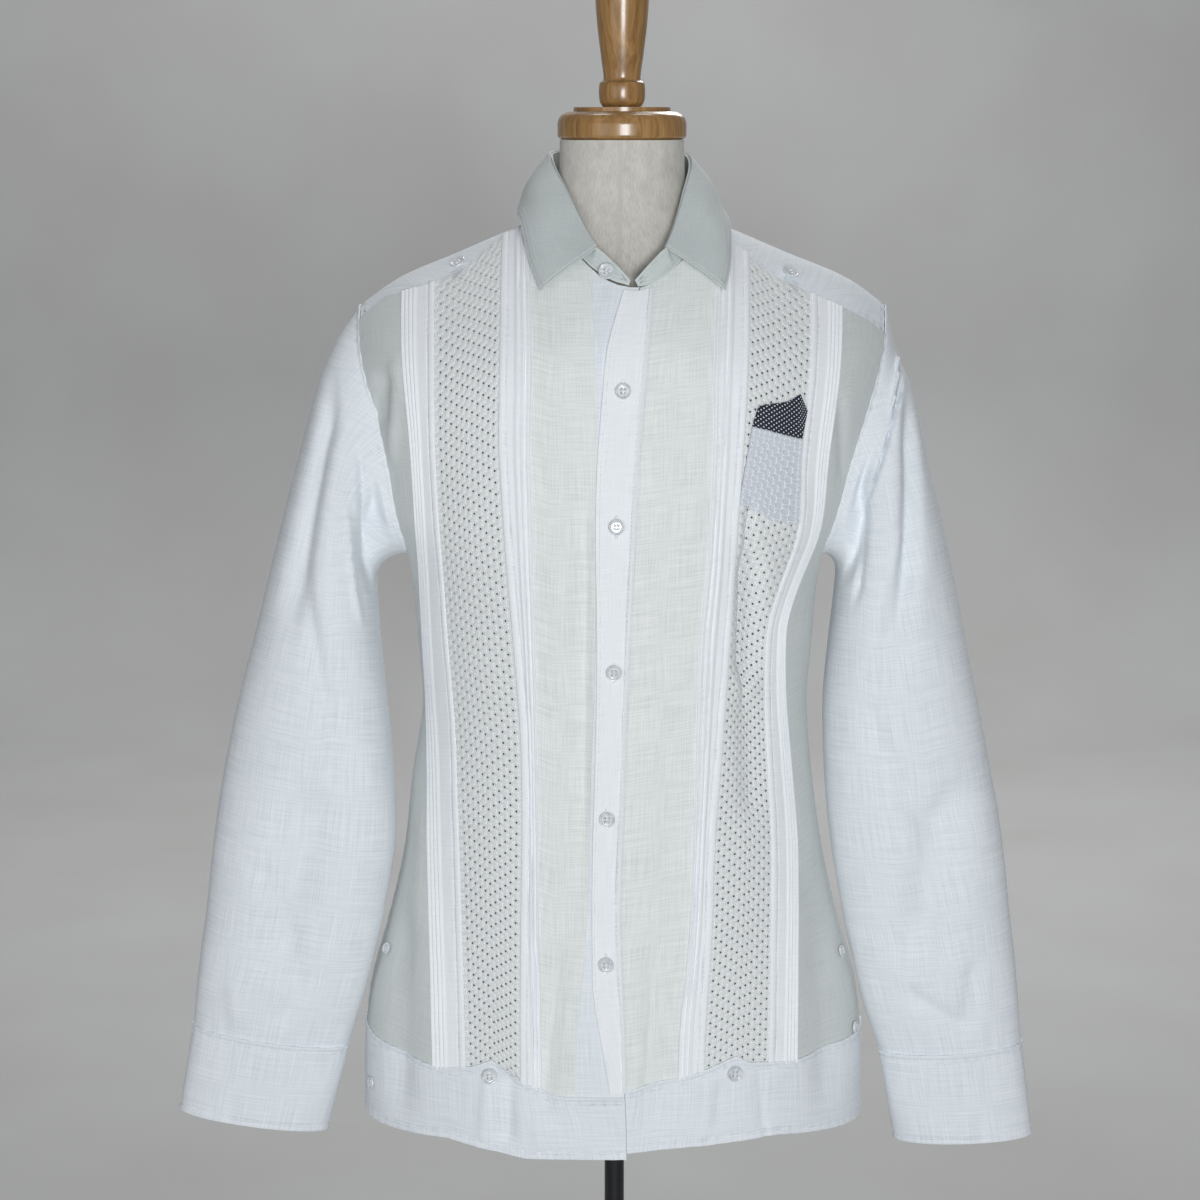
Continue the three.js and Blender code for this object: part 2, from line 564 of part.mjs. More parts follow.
function buildFront(side) {
  const table = side < 0 ? RIGHT_FRONT : LEFT_FRONT;
  const bandSeam = side < 0 ? RIGHT_BAND_SEAM : LEFT_BAND_SEAM;
  const suffix = side < 0 ? 'right' : 'left';
  const laceShares = LACE_SHARES[suffix];
  const edge = (column) => (z) => smooth(table, column, z);
  const centreLine = (z) => smooth(PLACKET_EDGE, 'x', z) + 11;
  const outer = (z) => xAtAngle(side * outerAngle(z), z);
  const strips = [
    {
      name: 'centre_panel',
      from: side < 0 ? edge('strip') : (z) => centreLine(z) + 0.6,
      to: edge('centre'),
      shares: THIRDS,
      paint: IVORY_LINEN,
    },
    { name: 'inner_tucks', from: edge('centre'), to: edge('innerTucks'), shares: [0, 1], paint: TUCKED_COTTON },
    { name: 'lace_panel', from: edge('innerTucks'), to: edge('lace'), shares: laceShares, paint: LACE },
    { name: 'outer_tucks', from: edge('lace'), to: edge('outerTucks'), shares: [0, 1], paint: TUCKED_COTTON },
    { name: 'side_panel', from: edge('outerTucks'), to: outer, shares: FIFTHS, paint: SIDE_COTTON },
  ];
  if (side < 0) {
    strips.unshift({ name: 'button_stand', from: centreLine, to: edge('strip'), shares: HALVES, paint: WHITE_LINEN });
  }
  for (const strip of strips) {
    const [left, right] = side < 0 ? [strip.to, strip.from] : [strip.from, strip.to];
    const grid = panelRows({
      left,
      right,
      shares: side < 0 ? strip.shares.map((share) => 1 - share).reverse() : strip.shares,
      rows: PANEL_ROWS,
      bottom: (xAt) => meet(bandSeam, xAt),
      top: frontTop(side),
    });
    add(`${strip.name}_${suffix}`, wall(grid), strip.paint);
  }
}

/** The placket band lies on both fronts, from the collar to the hem band. */
function buildPlacket() {
  const grid = panelRows({
    left: (z) => smooth(PLACKET_EDGE, 'x', z),
    right: (z) => smooth(LEFT_FRONT, 'strip', z),
    shares: HALVES,
    rows: PANEL_ROWS,
    bottom: (xAt) => meet(LEFT_BAND_SEAM, xAt) + SEAM_GAP,
    top: (xAt) => frontTop(1)(xAt) - 3,
  });
  add('placket', wall(grid, { near: PLACKET_LIFT, far: PLACKET_LIFT + CLOTH }), WHITE_LINEN);
}

function buildHemBand(side) {
  const [seam, hem] = side < 0 ? [RIGHT_BAND_SEAM, RIGHT_HEM] : [LEFT_BAND_SEAM, LEFT_HEM];
  const table = side < 0 ? RIGHT_FRONT : LEFT_FRONT;
  const suffix = side < 0 ? 'right' : 'left';
  const opening = (z) => smooth(PLACKET_EDGE, 'x', z) + (side < 0 ? 11 : 11.6);
  const outer = (z) => xAtAngle(side * outerAngle(z), z);
  const lines = ['strip', 'centre', 'innerTucks', 'lace', 'outerTucks'].map((c) => (z) => smooth(table, c, z));
  const edges = side < 0 ? [opening, ...lines, outer] : [opening, ...lines.slice(1), outer];
  const shares = [THIRDS, [0, 1], LACE_SHARES[suffix], [0, 1], FIFTHS];
  if (side < 0) shares.unshift(HALVES);
  const uprights = shares.flatMap((own, k) =>
    own.slice(k === 0 ? 0 : 1).map((share) => (z) => {
      const [a, b] = [angleAtX(edges[k](z), z), angleAtX(edges[k + 1](z), z)];
      return share === 1 ? edges[k + 1](z) : xAtAngle(mix(a, b, share), z);
    }),
  );
  if (side < 0) uprights.reverse();
  const grid = steps(0, 1, 2).map((t) =>
    uprights.map((xAt) => {
      const z = mix(meet(hem, xAt), meet(seam, xAt), t);
      return bodyGridPoint('front', xAt(z), z);
    }),
  );
  add(`hem_band_${suffix}`, wall(grid), WHITE_LINEN);
}

// Heights of the back panel's rows, closest together where the armhole turns under.
const BACK_ROWS = [...steps(BACK_BAND_SEAM_Z, UNDERARM_Z, 6), 748, 762, 782, 810, 845, 875, BACK_SEAM_Z];

/** The back's pieces run from one outer edge to the other. */
function backRows(heights) {
  return heights.map((z) => {
    return steps(-1, 1, 16).map((share) => bodyGridPoint('back', xAtAngle(share * outerAngle(z), z), z));
  });
}

// ---------------------------------------------------------------- yoke
/** A place on the shoulder: x from the spine, and how far it lies forward (below 0) or back of the shoulder line. */
function shoulderPoint(fromSpine, wrap) {
  const turn = Math.min(Math.abs(wrap) / SHOULDER_ROUND, Math.PI / 2);
  const face = wrap < 0 ? 'front' : 'back';
  const past = Math.max(0, Math.abs(wrap) - (SHOULDER_ROUND * Math.PI) / 2);
  const z = ridge(fromSpine, face) - SHOULDER_ROUND * (1 - Math.cos(turn)) - past;
  return bodyPoint(face, fromSpine + spine(z), z);
}

/** The wrap at which a height lies. */
function wrapAtZ(fromSpine, z, face) {
  const drop = ridge(fromSpine, face) - z;
  if (drop >= SHOULDER_ROUND) return (SHOULDER_ROUND * Math.PI) / 2 + drop - SHOULDER_ROUND;
  return SHOULDER_ROUND * Math.acos(1 - Math.max(0, drop) / SHOULDER_ROUND);
}

/** The wrap at which a depth from the shoulder line lies. */
function wrapAtY(fromSpine, y) {
  const face = y < 0 ? 'front' : 'back';
  let turn = 0;
  for (let i = 0; i < 12; i += 1) {
    const z = ridge(fromSpine, face) - SHOULDER_ROUND * (1 - Math.cos(turn));
    const full = smooth(BODY, face, z) * roundness(fromSpine / half(z));
    turn = Math.asin(clamp(Math.abs(y) / full));
  }
  return Math.sign(y) * SHOULDER_ROUND * turn;
}

/** Where the neckline crosses an angle seen from above, 0 at the front and 180 at the back. */
function neckline(turn) {
  const a = THREE.MathUtils.degToRad(turn);
  const y = -Math.cos(a) * (Math.cos(a) > 0 ? NECK_HOLE.front : NECK_HOLE.back);
  const shift = COLLAR_CENTRE.x - COLLAR_CENTRE.lean * y - spine(1000);
  return { x: NECK_HOLE.half * Math.sin(a) + shift, y };
}

const FRONT_JUNCTION_TURN = 68; // where the yoke seam meets the neckline
const REAR_TURN = 112;
const SIDE_SHARE = 0.22; // share of the yoke's outer edge that is one armhole

/** x of the armhole seam at a wrap, from the spine. */
function armholeX(side, wrap) {
  let x = 205 * side;
  for (let i = 0; i < 8; i += 1) {
    const turn = Math.min(Math.abs(wrap) / SHOULDER_ROUND, Math.PI / 2);
    const z = ridge(x, wrap < 0 ? 'front' : 'back') - SHOULDER_ROUND * (1 - Math.cos(turn));
    x = xAtAngle(side * outerAngle(z), z) - spine(z);
  }
  return x;
}

/** Where the yoke's front seam ends at the armhole, as a wrap. */
function seamEndWrap(side) {
  const seam = side < 0 ? RIGHT_YOKE_SEAM : LEFT_YOKE_SEAM;
  const z = meet(seam, (height) => xAtAngle(side * outerAngle(height), height));
  return -wrapAtZ(xAtAngle(side * outerAngle(z), z) - spine(z), z, 'front');
}

function yokeOuter(share) {
  const side = share < 0.5 ? -1 : 1;
  const own = share < 0.5 ? share : 1 - share;
  const corner = armholeX(side, wrapAtZ(205, BACK_SEAM_Z, 'back'));
  if (own < SIDE_SHARE) {
    const wrap = mix(seamEndWrap(side), wrapAtZ(corner, BACK_SEAM_Z, 'back'), own / SIDE_SHARE);
    return { x: armholeX(side, wrap), wrap };
  }
  const x = corner * (1 - (own - SIDE_SHARE) / (0.5 - SIDE_SHARE));
  return { x, wrap: wrapAtZ(x, BACK_SEAM_Z, 'back') };
}

function yokeInner(share) {
  const own = share < 0.5 ? share : 1 - share;
  const turn =
    own < SIDE_SHARE
      ? mix(FRONT_JUNCTION_TURN, REAR_TURN, own / SIDE_SHARE)
      : mix(REAR_TURN, 180, (own - SIDE_SHARE) / (0.5 - SIDE_SHARE));
  const at = neckline(share < 0.5 ? -turn : turn);
  return { x: at.x, wrap: wrapAtY(at.x, at.y) };
}

/** Moves the yoke's first and last line onto the front seam. */
function seamCorrection(share, x, out) {
  const own = share < 0.5 ? share : 1 - share;
  const side = share < 0.5 ? -1 : 1;
  const seam = side < 0 ? RIGHT_YOKE_SEAM : LEFT_YOKE_SEAM;
  const [inner, outer] = [yokeInner(side < 0 ? 0 : 1), yokeOuter(side < 0 ? 0 : 1)];
  const lineX = mix(inner.x, outer.x, out);
  const lineWrap = mix(inner.wrap, outer.wrap, out);
  let z = 960;
  for (let i = 0; i < 8; i += 1) z = straight(seam, 'z', lineX + spine(z), 'x');
  const seamWrap = -wrapAtZ(lineX, z, 'front');
  return (seamWrap - lineWrap) * clamp(1 - own / SIDE_SHARE);
}

// Shares of the way out from the neckline at which the yoke's lines lie: one runs to the corner of each front seam.
const YOKE_LINES = [
  { right: 0, left: 0 },
  { right: 0.11, left: 0.09 },
  { right: 0.22, left: 0.18 },
  { right: 0.33, left: 0.27 },
  { right: 0.434, left: 0.36 },
  { right: 0.54, left: 0.48 },
  { right: 0.65, left: 0.61 },
  { right: 0.77, left: 0.74 },
  { right: 0.89, left: 0.87 },
  { right: 1, left: 1 },
];

function buildYoke() {
  const around = [
    ...steps(0, SIDE_SHARE, 6),
    ...steps(SIDE_SHARE, 1 - SIDE_SHARE, 14).slice(1, -1),
    ...steps(1 - SIDE_SHARE, 1, 6),
  ];
  const grid = YOKE_LINES.map((line) =>
    around.map((share) => {
      const out = mix(line.right, line.left, share);
      const [inner, outer] = [yokeInner(share), yokeOuter(share)];
      const x = mix(inner.x, outer.x, out);
      const wrap = mix(inner.wrap, outer.wrap, out) + seamCorrection(share, x, out);
      return shoulderPoint(x, wrap);
    }),
  );
  add('yoke', wall(grid, { flip: true, trim: 1 }), WHITE_LINEN);
}

// ---------------------------------------------------------------- sleeves and cuffs
/** A point of the armhole seam: 0 at the top, 90 at the front, 180 at the underarm. */
function armholePoint(side, degrees) {
  const a = THREE.MathUtils.degToRad(degrees);
  const z = mix(UNDERARM_Z, SHOULDER_Z - 1, (1 + Math.cos(a)) / 2);
  const x = xAtAngle(side * outerAngle(z), z);
  return bodyPoint(Math.sin(a) >= 0 ? 'front' : 'back', x, z);
}

function ellipsePoint(side, row, degrees) {
  const a = THREE.MathUtils.degToRad(degrees);
  const [cx, cz] = [(row.outX + row.inX) / 2, (row.outZ + row.inZ) / 2];
  return new THREE.Vector3(
    cx + (row.outX - cx) * Math.cos(a),
    -row.forward - row.depth * Math.sin(a),
    cz + (row.outZ - cz) * Math.cos(a),
  );
}

function sleeveRow(table, along) {
  const read = (column) => station(table, column, along);
  return {
    outX: read('outX'),
    outZ: read('outZ'),
    inX: read('inX'),
    inZ: read('inZ'),
    depth: read('depth'),
    forward: read('forward'),
  };
}

const ARM_LENGTH = 640;
function sleeveFold(folds, degrees, along, girth) {
  let depth = 0;
  for (const f of folds) {
    const round = (angle) => (angle / 360) * girth;
    const away = [round(degrees), along * ARM_LENGTH];
    const start = [round(f.angle0), f.along0 * ARM_LENGTH];
    const end = [round(f.angle1), f.along1 * ARM_LENGTH];
    depth += f.depth * nearFold(...away, ...start, ...end, f.half);
  }
  return depth;
}

const SLEEVE_SIDES = 24;
const CAP_SHARE = 0.22; // share of the sleeve over which the armhole's shape turns into a round sleeve
function buildSleeve(side) {
  const [table, folds, cuff] =
    side < 0 ? [RIGHT_SLEEVE, RIGHT_SLEEVE_FOLDS, CUFFS.right] : [LEFT_SLEEVE, LEFT_SLEEVE_FOLDS, CUFFS.left];
  const suffix = side < 0 ? 'right' : 'left';
  const angles = steps(0, 360, SLEEVE_SIDES).slice(0, -1);
  const grid = [0, 0.04, 0.09, 0.15, 0.22, 0.31, 0.41, 0.52, 0.64, 0.76, 0.88, 1].map((along) => {
    const row = sleeveRow(table, along);
    const centre = new THREE.Vector3((row.outX + row.inX) / 2, -row.forward, (row.outZ + row.inZ) / 2);
    const capBlend = 1 - ease(clamp(along / CAP_SHARE));
    return angles.map((degrees) => {
      const p = ellipsePoint(side, row, degrees);
      const hole = armholePoint(side, degrees);
      const first = ellipsePoint(side, table[0], degrees);
      p.addScaledVector(hole.sub(first), capBlend);
      const fade = ease(clamp(along / 0.08)) * ease(clamp((1 - along) / 0.06));
      const depth = sleeveFold(folds, degrees, along, 6 * row.depth) * fade;
      return p.addScaledVector(p.clone().sub(centre).normalize(), depth);
    });
  });
  const sleeve = wall(grid, { near: -CLOTH - 0.5, far: -0.5, ring: true, flip: side < 0, trim: 1.8 });
  add(`sleeve_${suffix}`, sleeve, WHITE_LINEN);
  const cuffGrid = steps(0, 1, 2).map((t) => {
    const wrist = table[table.length - 1];
    const row = {};
    for (const column of Object.keys(wrist)) row[column] = mix(wrist[column], cuff[column], t);
    return angles.map((degrees) => ellipsePoint(side, row, degrees));
  });
  add(`cuff_${suffix}`, wall(cuffGrid, { near: -CLOTH, far: 0, ring: true, flip: side < 0 }), WHITE_LINEN);
}

// ---------------------------------------------------------------- collar
function collarPoint(row, names, side) {
  const y = row[names[1]];
  return new THREE.Vector3(side * row[names[0]] + COLLAR_CENTRE.x - COLLAR_CENTRE.lean * y, y, row[names[2]]);
}

/** One half's stations, from the back round to the front, or the front to the back, joined into a whole collar. */
const aroundCollar = (count) => [
  ...steps(0, 1, count).map((share) => ({ side: -1, share })),
  ...steps(1, 0, count).slice(1).map((share) => ({ side: 1, share })),
];

function collarRow(share) {
  const row = {};
  for (const column of Object.keys(COLLAR[0])) row[column] = station(COLLAR, column, share);
  return row;
}

function standBase(side, turn) {
  const at = neckline(side * turn);
  const base = shoulderPoint(at.x, wrapAtY(at.x, at.y));
  return base.add(new THREE.Vector3(0, 0, 2.6));
}

/** Base and top of the stand at each of its stations, from one front end round the back to the other. */
function standStations() {
  const half = (side) => [
    ...STAND_TAB.map((row) => ({
      base: standBase(side, row.turn),
      top: collarPoint(row, ['topX', 'topY', 'topZ'], side),
    })),
    ...steps(0, 1, 12).map((share) => {
      const row = collarRow(share);
      const fold = collarPoint(row, ['foldX', 'foldY', 'foldZ'], side);
      const inward = new THREE.Vector3(COLLAR_CENTRE.x - fold.x, -fold.y, 0).normalize();
      return { base: standBase(side, row.turn), top: fold.addScaledVector(inward, STAND_INSET) };
    }),
  ];
  return [...half(-1), ...half(1).reverse().slice(1)];
}

function buildCollar() {
  const leafLines = aroundCollar(14);
  const leaf = steps(0, 1, 4).map((t) =>
    leafLines.map(({ side, share }) => {
      const row = collarRow(share);
      const fold = collarPoint(row, ['foldX', 'foldY', 'foldZ'], side);
      const edge = collarPoint(row, ['edgeX', 'edgeY', 'edgeZ'], side);
      const p = fold.lerp(edge, 1 - t);
      const out = new THREE.Vector3(p.x - COLLAR_CENTRE.x, p.y, 0).normalize();
      return p.addScaledVector(out, 5 * Math.sin(Math.PI * t));
    }),
  );
  add('collar_leaf', wall(leaf, { near: 0, far: CLOTH }), COLLAR_COTTON);
  const stations = standStations();
  const stand = steps(0, 1, 3).map((t) => stations.map(({ base, top }) => base.clone().lerp(top, t * 0.97)));
  add('collar_stand', wall(stand, { near: -CLOTH, far: 0 }), COLLAR_COTTON);
}

// ---------------------------------------------------------------- pocket, buttons
function buildPatch(name, table, rows, material) {
  const grid = steps(0, 1, rows).map((t) =>
    table.map((line) => bodyGridPoint('front', mix(line.lowX, line.topX, t), mix(line.lowZ, line.topZ, t))),
  );
  add(name, wall(grid, { near: PATCH_LIFT, far: PATCH_LIFT + CLOTH }), material);
}

function buttonGeometry({ radius, thickness }) {
  const profile = [
    [0, 0],
    [radius * 0.8, 0],
    [radius, thickness * 0.45],
    [radius * 0.92, thickness],
    [radius * 0.7, thickness * 0.75],
    [0, thickness * 0.7],
  ];
  return new THREE.LatheGeometry(profile.map(([r, h]) => new THREE.Vector2(r, h)), 14);
}

/** Sets a button on the cloth at a surface point, facing along the surface's outward direction. */
function placeButton(name, sizes, at, outward, standOff) {
  const mesh = add(name, buttonGeometry(sizes), PEARL);
  mesh.quaternion.setFromUnitVectors(new THREE.Vector3(0, 1, 0), outward);
  mesh.position.copy(at).addScaledVector(outward, standOff);
}

function buildButtons() {
  PLACKET_BUTTONS.forEach(({ x, z }, i) => {
    const standOff = PLACKET_LIFT + CLOTH + 0.9;
    placeButton(`button_placket_${i + 1}`, BUTTON, bodyPoint('front', x, z), bodyNormal('front', x, z), standOff);
  });
  for (const { name, x, z } of FRONT_BUTTONS) {
    placeButton(name, BUTTON, bodyPoint('front', x, z), bodyNormal('front', x, z), CLOTH + 1.3);
  }
  for (const { name, side, z } of VENT_BUTTONS) {
    const x = xAtAngle(side * (outerAngle(z) - 17), z);
    placeButton(name, SMALL_BUTTON, bodyPoint('front', x, z), bodyNormal('front', x, z), CLOTH + 1);
  }
  const [standX, standZ] = [-6.5, 966];
  const standPlace = new THREE.Vector3(standX, -87.5, standZ);
  const standFacing = new THREE.Vector3(-0.15, -0.95, 0.25).normalize();
  placeButton('button_stand', BUTTON, standPlace, standFacing, 1.6);
  for (const [side, cuff, wrist] of [[-1, CUFFS.right, RIGHT_SLEEVE.at(-1)], [1, CUFFS.left, LEFT_SLEEVE.at(-1)]]) {
    const row = {};
    for (const column of Object.keys(wrist)) row[column] = mix(wrist[column], cuff[column], 0.5);
    const at = ellipsePoint(side, row, 290);
    const out = new THREE.Vector3(side * 0.12, 1, 0).normalize();
    placeButton(`button_cuff_${side < 0 ? 'right' : 'left'}`, BUTTON, at, out, 1.2);
  }
}

// ---------------------------------------------------------------- dress form
/** A closed solid through the form's sections. */
function buildForm() {
  const around = 32;
  const positions = [];
  for (const { z, half: a, front, back } of FORM) {
    const shift = z > 900 ? spine(z) : 0;
    for (let i = 0; i < around; i += 1) {
      const t = (i / around) * 2 * Math.PI;
      const [s, c] = [Math.sin(t), Math.cos(t)];
      const reach = (Math.abs(s) ** 2.2 + Math.abs(c) ** 2.2) ** (-1 / 2.2);
      positions.push(a * s * reach + shift, (c > 0 ? -front : back) * Math.abs(c) * reach, z);
    }
  }
  const [bottom, top] = [positions.length / 3, positions.length / 3 + 1];
  positions.push(0, 0, FORM[0].z, spine(1000), 0, FORM[FORM.length - 1].z);
  const faces = [];
  for (let j = 0; j < FORM.length; j += 1) {
    for (let i = 0; i < around; i += 1) {
      const [a, b] = [j * around + i, j * around + ((i + 1) % around)];
      if (j === 0) faces.push(bottom, b, a);
      if (j === FORM.length - 1) faces.push(top, a, b);
      else faces.push(a, b, b + around, a, b + around, a + around);
    }
  }
  const geometry = new THREE.BufferGeometry();
  geometry.setAttribute('position', new THREE.Float32BufferAttribute(positions, 3));
  geometry.setIndex(faces);
  geometry.computeVertexNormals();
  add('form_torso', geometry, FORM_JERSEY);
}

function buildStand() {
  const neckX = spine(1000);
  for (const [name, profile] of [['neck_cap', NECK_CAP], ['finial', FINIAL]]) {
    const points = profile.map(({ radius, z }) => new THREE.Vector2(radius, z));
    points.unshift(new THREE.Vector2(0, profile[0].z));
    points.push(new THREE.Vector2(0, profile[profile.length - 1].z));
    const mesh = add(name, new THREE.LatheGeometry(points, 32), TURNED_WOOD);
    mesh.rotation.x = Math.PI / 2;
    mesh.position.x = neckX;
  }
  const pole = add(
    'pole',
    new THREE.CylinderGeometry(POLE_RADIUS, POLE_RADIUS, TORSO_BOTTOM_Z - BASE.thickness - 2 * SEAM_GAP, 24),
    BLACK_STEEL,
  );
  pole.rotation.x = Math.PI / 2;
  pole.position.z = (TORSO_BOTTOM_Z + BASE.thickness) / 2;
  const rim = [
    [0, 0],
    [BASE.radius - 1, 0],
    [BASE.radius, 1],
    [BASE.radius, BASE.thickness - BASE.edge],
    [BASE.radius - BASE.edge, BASE.thickness],
    [0, BASE.thickness],
  ];
  const base = add('base', new THREE.LatheGeometry(rim.map(([r, h]) => new THREE.Vector2(r, h)), 48), BLACK_STEEL);
  base.rotation.x = Math.PI / 2;
}

// ---------------------------------------------------------------- the whole object
buildFront(-1);
buildFront(1);
buildPlacket();
buildHemBand(-1);
buildHemBand(1);
add('back_panel', wall(backRows(BACK_ROWS), { flip: true }), WHITE_LINEN);
add('hem_band_back', wall(backRows(steps(BACK_HEM_Z, BACK_BAND_SEAM_Z, 2)), { flip: true }), WHITE_LINEN);
buildYoke();
buildSleeve(-1);
buildSleeve(1);
buildCollar();
buildPatch('pocket', POCKET, 4, LACE);
buildPatch('contrast_piece', CONTRAST_PIECE, 2, DARK_DOTTED);
buildButtons();
buildForm();
buildStand();

export default shirt;
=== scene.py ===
"""A guayabera shirt on a limbless dress form: the finish of every piece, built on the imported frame.

Sizes are in millimetres until a mesh is made. +Z is up, the shirt's front faces -Y, and +X is the wearer's left.
"""

import math

import bpy
import numpy as np
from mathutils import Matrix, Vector


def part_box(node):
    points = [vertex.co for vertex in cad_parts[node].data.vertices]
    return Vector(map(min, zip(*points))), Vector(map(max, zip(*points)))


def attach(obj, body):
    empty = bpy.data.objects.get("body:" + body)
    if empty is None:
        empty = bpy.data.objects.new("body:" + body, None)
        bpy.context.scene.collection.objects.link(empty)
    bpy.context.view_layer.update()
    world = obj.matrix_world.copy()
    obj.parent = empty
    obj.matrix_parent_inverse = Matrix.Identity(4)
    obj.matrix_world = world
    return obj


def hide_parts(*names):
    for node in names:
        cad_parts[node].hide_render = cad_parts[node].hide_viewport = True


bl_info = {
    "name": "Guayabera on dress form",
    "version": (1, 0, 0),
    "blender": (4, 5, 0),
    "location": "3D View > Sidebar > Guayabera",
    "description": "Builds a lace-panelled guayabera shirt and the dress form that it stands on",
    "category": "Object",
}

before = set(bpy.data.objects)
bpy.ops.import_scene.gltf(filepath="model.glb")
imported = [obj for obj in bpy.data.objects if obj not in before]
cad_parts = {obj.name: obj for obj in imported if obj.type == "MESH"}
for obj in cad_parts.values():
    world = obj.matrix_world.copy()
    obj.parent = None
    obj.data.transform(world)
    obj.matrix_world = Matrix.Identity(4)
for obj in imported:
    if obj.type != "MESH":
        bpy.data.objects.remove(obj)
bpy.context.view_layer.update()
MM = 0.001


# ------------------------------------------------------------------ tables, each row at one height or station
def table(names, *rows):
    """Named columns of numbers."""
    return {name: np.array(column, float) for name, column in zip(names.split(), zip(*rows))}


UNDERARM_Z, SHOULDER_Z, BACK_SEAM_Z = 739, 937, 905
SHOULDER_ROUND = 120  # height over which the chest rounds over to the shoulder line
SECTION_POWER = 2.4  # a body section is a superellipse of this power
NECK_HALF, NECK_FRONT, NECK_BACK = 65, 88, 66
VENT_TOP_Z, VENT_GAPE = 420, 2.2
BACK_BAND_SEAM_Z, BACK_HEM_Z = 340, 281
PLACKET_LIFT, PATCH_LIFT = 2.0, 1.6
COLLAR_X, COLLAR_LEAN = 4, 0.1
FOLD_DEPTH, SLEEVE_FOLD_DEPTH = 1.2, 1.8  # how deep the folds of the tables below are pressed
STAND_INSET = 3

BODY = table(
    "z half front back spine",
    (270, 202, 118, 112, -1),
    (345, 201, 118, 112, -1),
    (390, 196, 118, 111, -1),
    (440, 182, 117, 108, -1),
    (500, 168, 116, 104, -1),
    (560, 160, 115, 101, -2),
    (620, 153, 116, 100, 0),
    (670, 156, 120, 103, 0),
    (739, 163, 125, 111, 0),
    (775, 179, 122, 115, 1),
    (815, 189, 119, 117, 3),
    (850, 199, 116, 116, 4),
    (900, 213, 108, 110, 5),
    (940, 217, 101, 104, 6),
    (1020, 220, 92, 92, 5),
)
RIDGE = table(
    "x front back",
    (0, 1018, 1056),
    (40, 1012, 1030),
    (65, 1004, 1004),
    (90, 994, 994),
    (130, 977, 977),
    (175, 958, 958),
    (205, 937, 937),
    (240, 905, 905),
)
ARMHOLE = table("z angle", (739, 90), (745, 82), (757, 75), (780, 70), (960, 70))
RIGHT_FRONT = table(
    "z strip centre inner lace outer",
    (270, -31, -58, -74, -116, -143),
    (364, -30.5, -59, -74, -117, -144),
    (461, -22.5, -59, -73, -119.5, -146),
    (596, -18, -60, -72, -123, -147),
    (689, -15, -61, -78, -129, -150),
    (827, -14, -64, -87.5, -136.5, -156),
    (902, -16, -63, -87, -137.5, -163),
    (1010, -18, -66, -87, -140, -167),
)
LEFT_FRONT = table(
    "z strip centre inner lace outer",
    (270, 9, 49, 70, 119, 143),
    (364, 8, 50, 70, 120, 143.5),
    (461, 4, 57, 75, 121.5, 143.5),
    (525, 5, 60, 77, 121.5, 142),
    (689, 11, 64, 88, 116, 131),
    (766, 14.5, 70, 92, 139, 156.5),
    (827, 18, 73, 96, 141, 163),
    (902, 24, 74, 100, 148, 172),
    (1010, 33, 80, 103, 151, 177),
)
PLACKET_EDGE = table(
    "z x", (270, -2), (330, -4), (364, -9.5), (424, -17.5), (658, -13.5), (812, -14), (879, -9.5),
    (910, -6), (954, 7)
)
YOKE_SEAM = {
    -1: table(
        "x z", (-210, 916), (-199, 925), (-178, 942), (-142, 953.5), (-118.6, 963.4), (-87, 989),
        (-60, 1001)
    ),
    1: table(
        "x z", (60, 1001), (79, 993), (103, 975), (119.8, 960.2), (151, 946), (177.5, 934), (197, 924),
        (220, 904)
    ),
}
BAND_SEAM = {
    -1: table(
        "x z", (-203, 357), (-170, 348), (-140, 343), (-111, 347), (-95.5, 354), (-80, 340), (-50, 326),
        (12, 326)
    ),
    1: table("x z", (-12, 327), (49, 340.5), (72, 348), (94.5, 357), (104, 351), (141, 348), (203, 355)),
}
HEM = {
    -1: table("x z", (-203, 284), (-132, 287), (-70, 276), (12, 276)),
    1: table("x z", (-12, 279), (58, 286), (128, 290), (203, 282)),
}
# Soft troughs (depth below 0) and ridges, each from one point to another: first the ones that shape the shirt, then
# the finer creases of worn cloth.
FOLDS = {
    "front": table(
        "x0 z0 x1 z1 half depth",
        (-25, 840, -29, 460, 9, -4),
        (-45, 455, -60, 300, 11, -5),
        (103, 762, 101, 650, 9, -9),
        (101, 650, 108, 540, 10, -4),
        (-176, 890, -183, 845, 9, -4),
        (-84, 350, -86, 280, 8, -5),
        (42, 420, 34, 280, 12, -4),
        (160, 520, 170, 290, 13, -5),
        (-166, 470, -171, 290, 11, -5),
        (102, 800, 100, 630, 3.5, -6),
        (-168, 905, -172, 812, 4, 2.5),
        (-186, 872, -180, 815, 3, -2),
        (-22, 800, -24, 520, 4, -1.6),
        (-98, 352, -104, 282, 4, 1.6),
        (-62, 335, -58, 278, 5, 1.4),
        (75, 345, 68, 284, 5, 1.5),
        (112, 350, 118, 286, 4, -1.4),
        (30, 470, 22, 290, 5, -1.8),
        (-150, 560, -160, 380, 6, 2),
        (150, 640, 162, 420, 6, 2),
        (170, 880, 176, 800, 4, -2),
        (62, 930, 58, 700, 12, 1.2),
        (-45, 900, -40, 640, 10, 1.0),
        (45, 620, 38, 380, 9, -1.2),
    ),
    "back": table(
        "x0 z0 x1 z1 half depth",
        (-120, 860, -96, 300, 17, -10),
        (-52, 640, -40, 290, 15, -8),
        (58, 700, 36, 300, 16, -9),
        (126, 850, 104, 290, 18, -11),
        (-150, 800, -120, 640, 7, -3),
        (150, 790, 122, 620, 7, -3.5),
        (-10, 560, 2, 300, 8, 3),
        (-84, 780, -74, 420, 6, 2),
        (92, 760, 80, 400, 6, 2.2),
        (14, 880, 8, 700, 9, -2),
        (-140, 560, -152, 320, 8, -3),
        (142, 540, 156, 310, 8, -3),
    ),
}
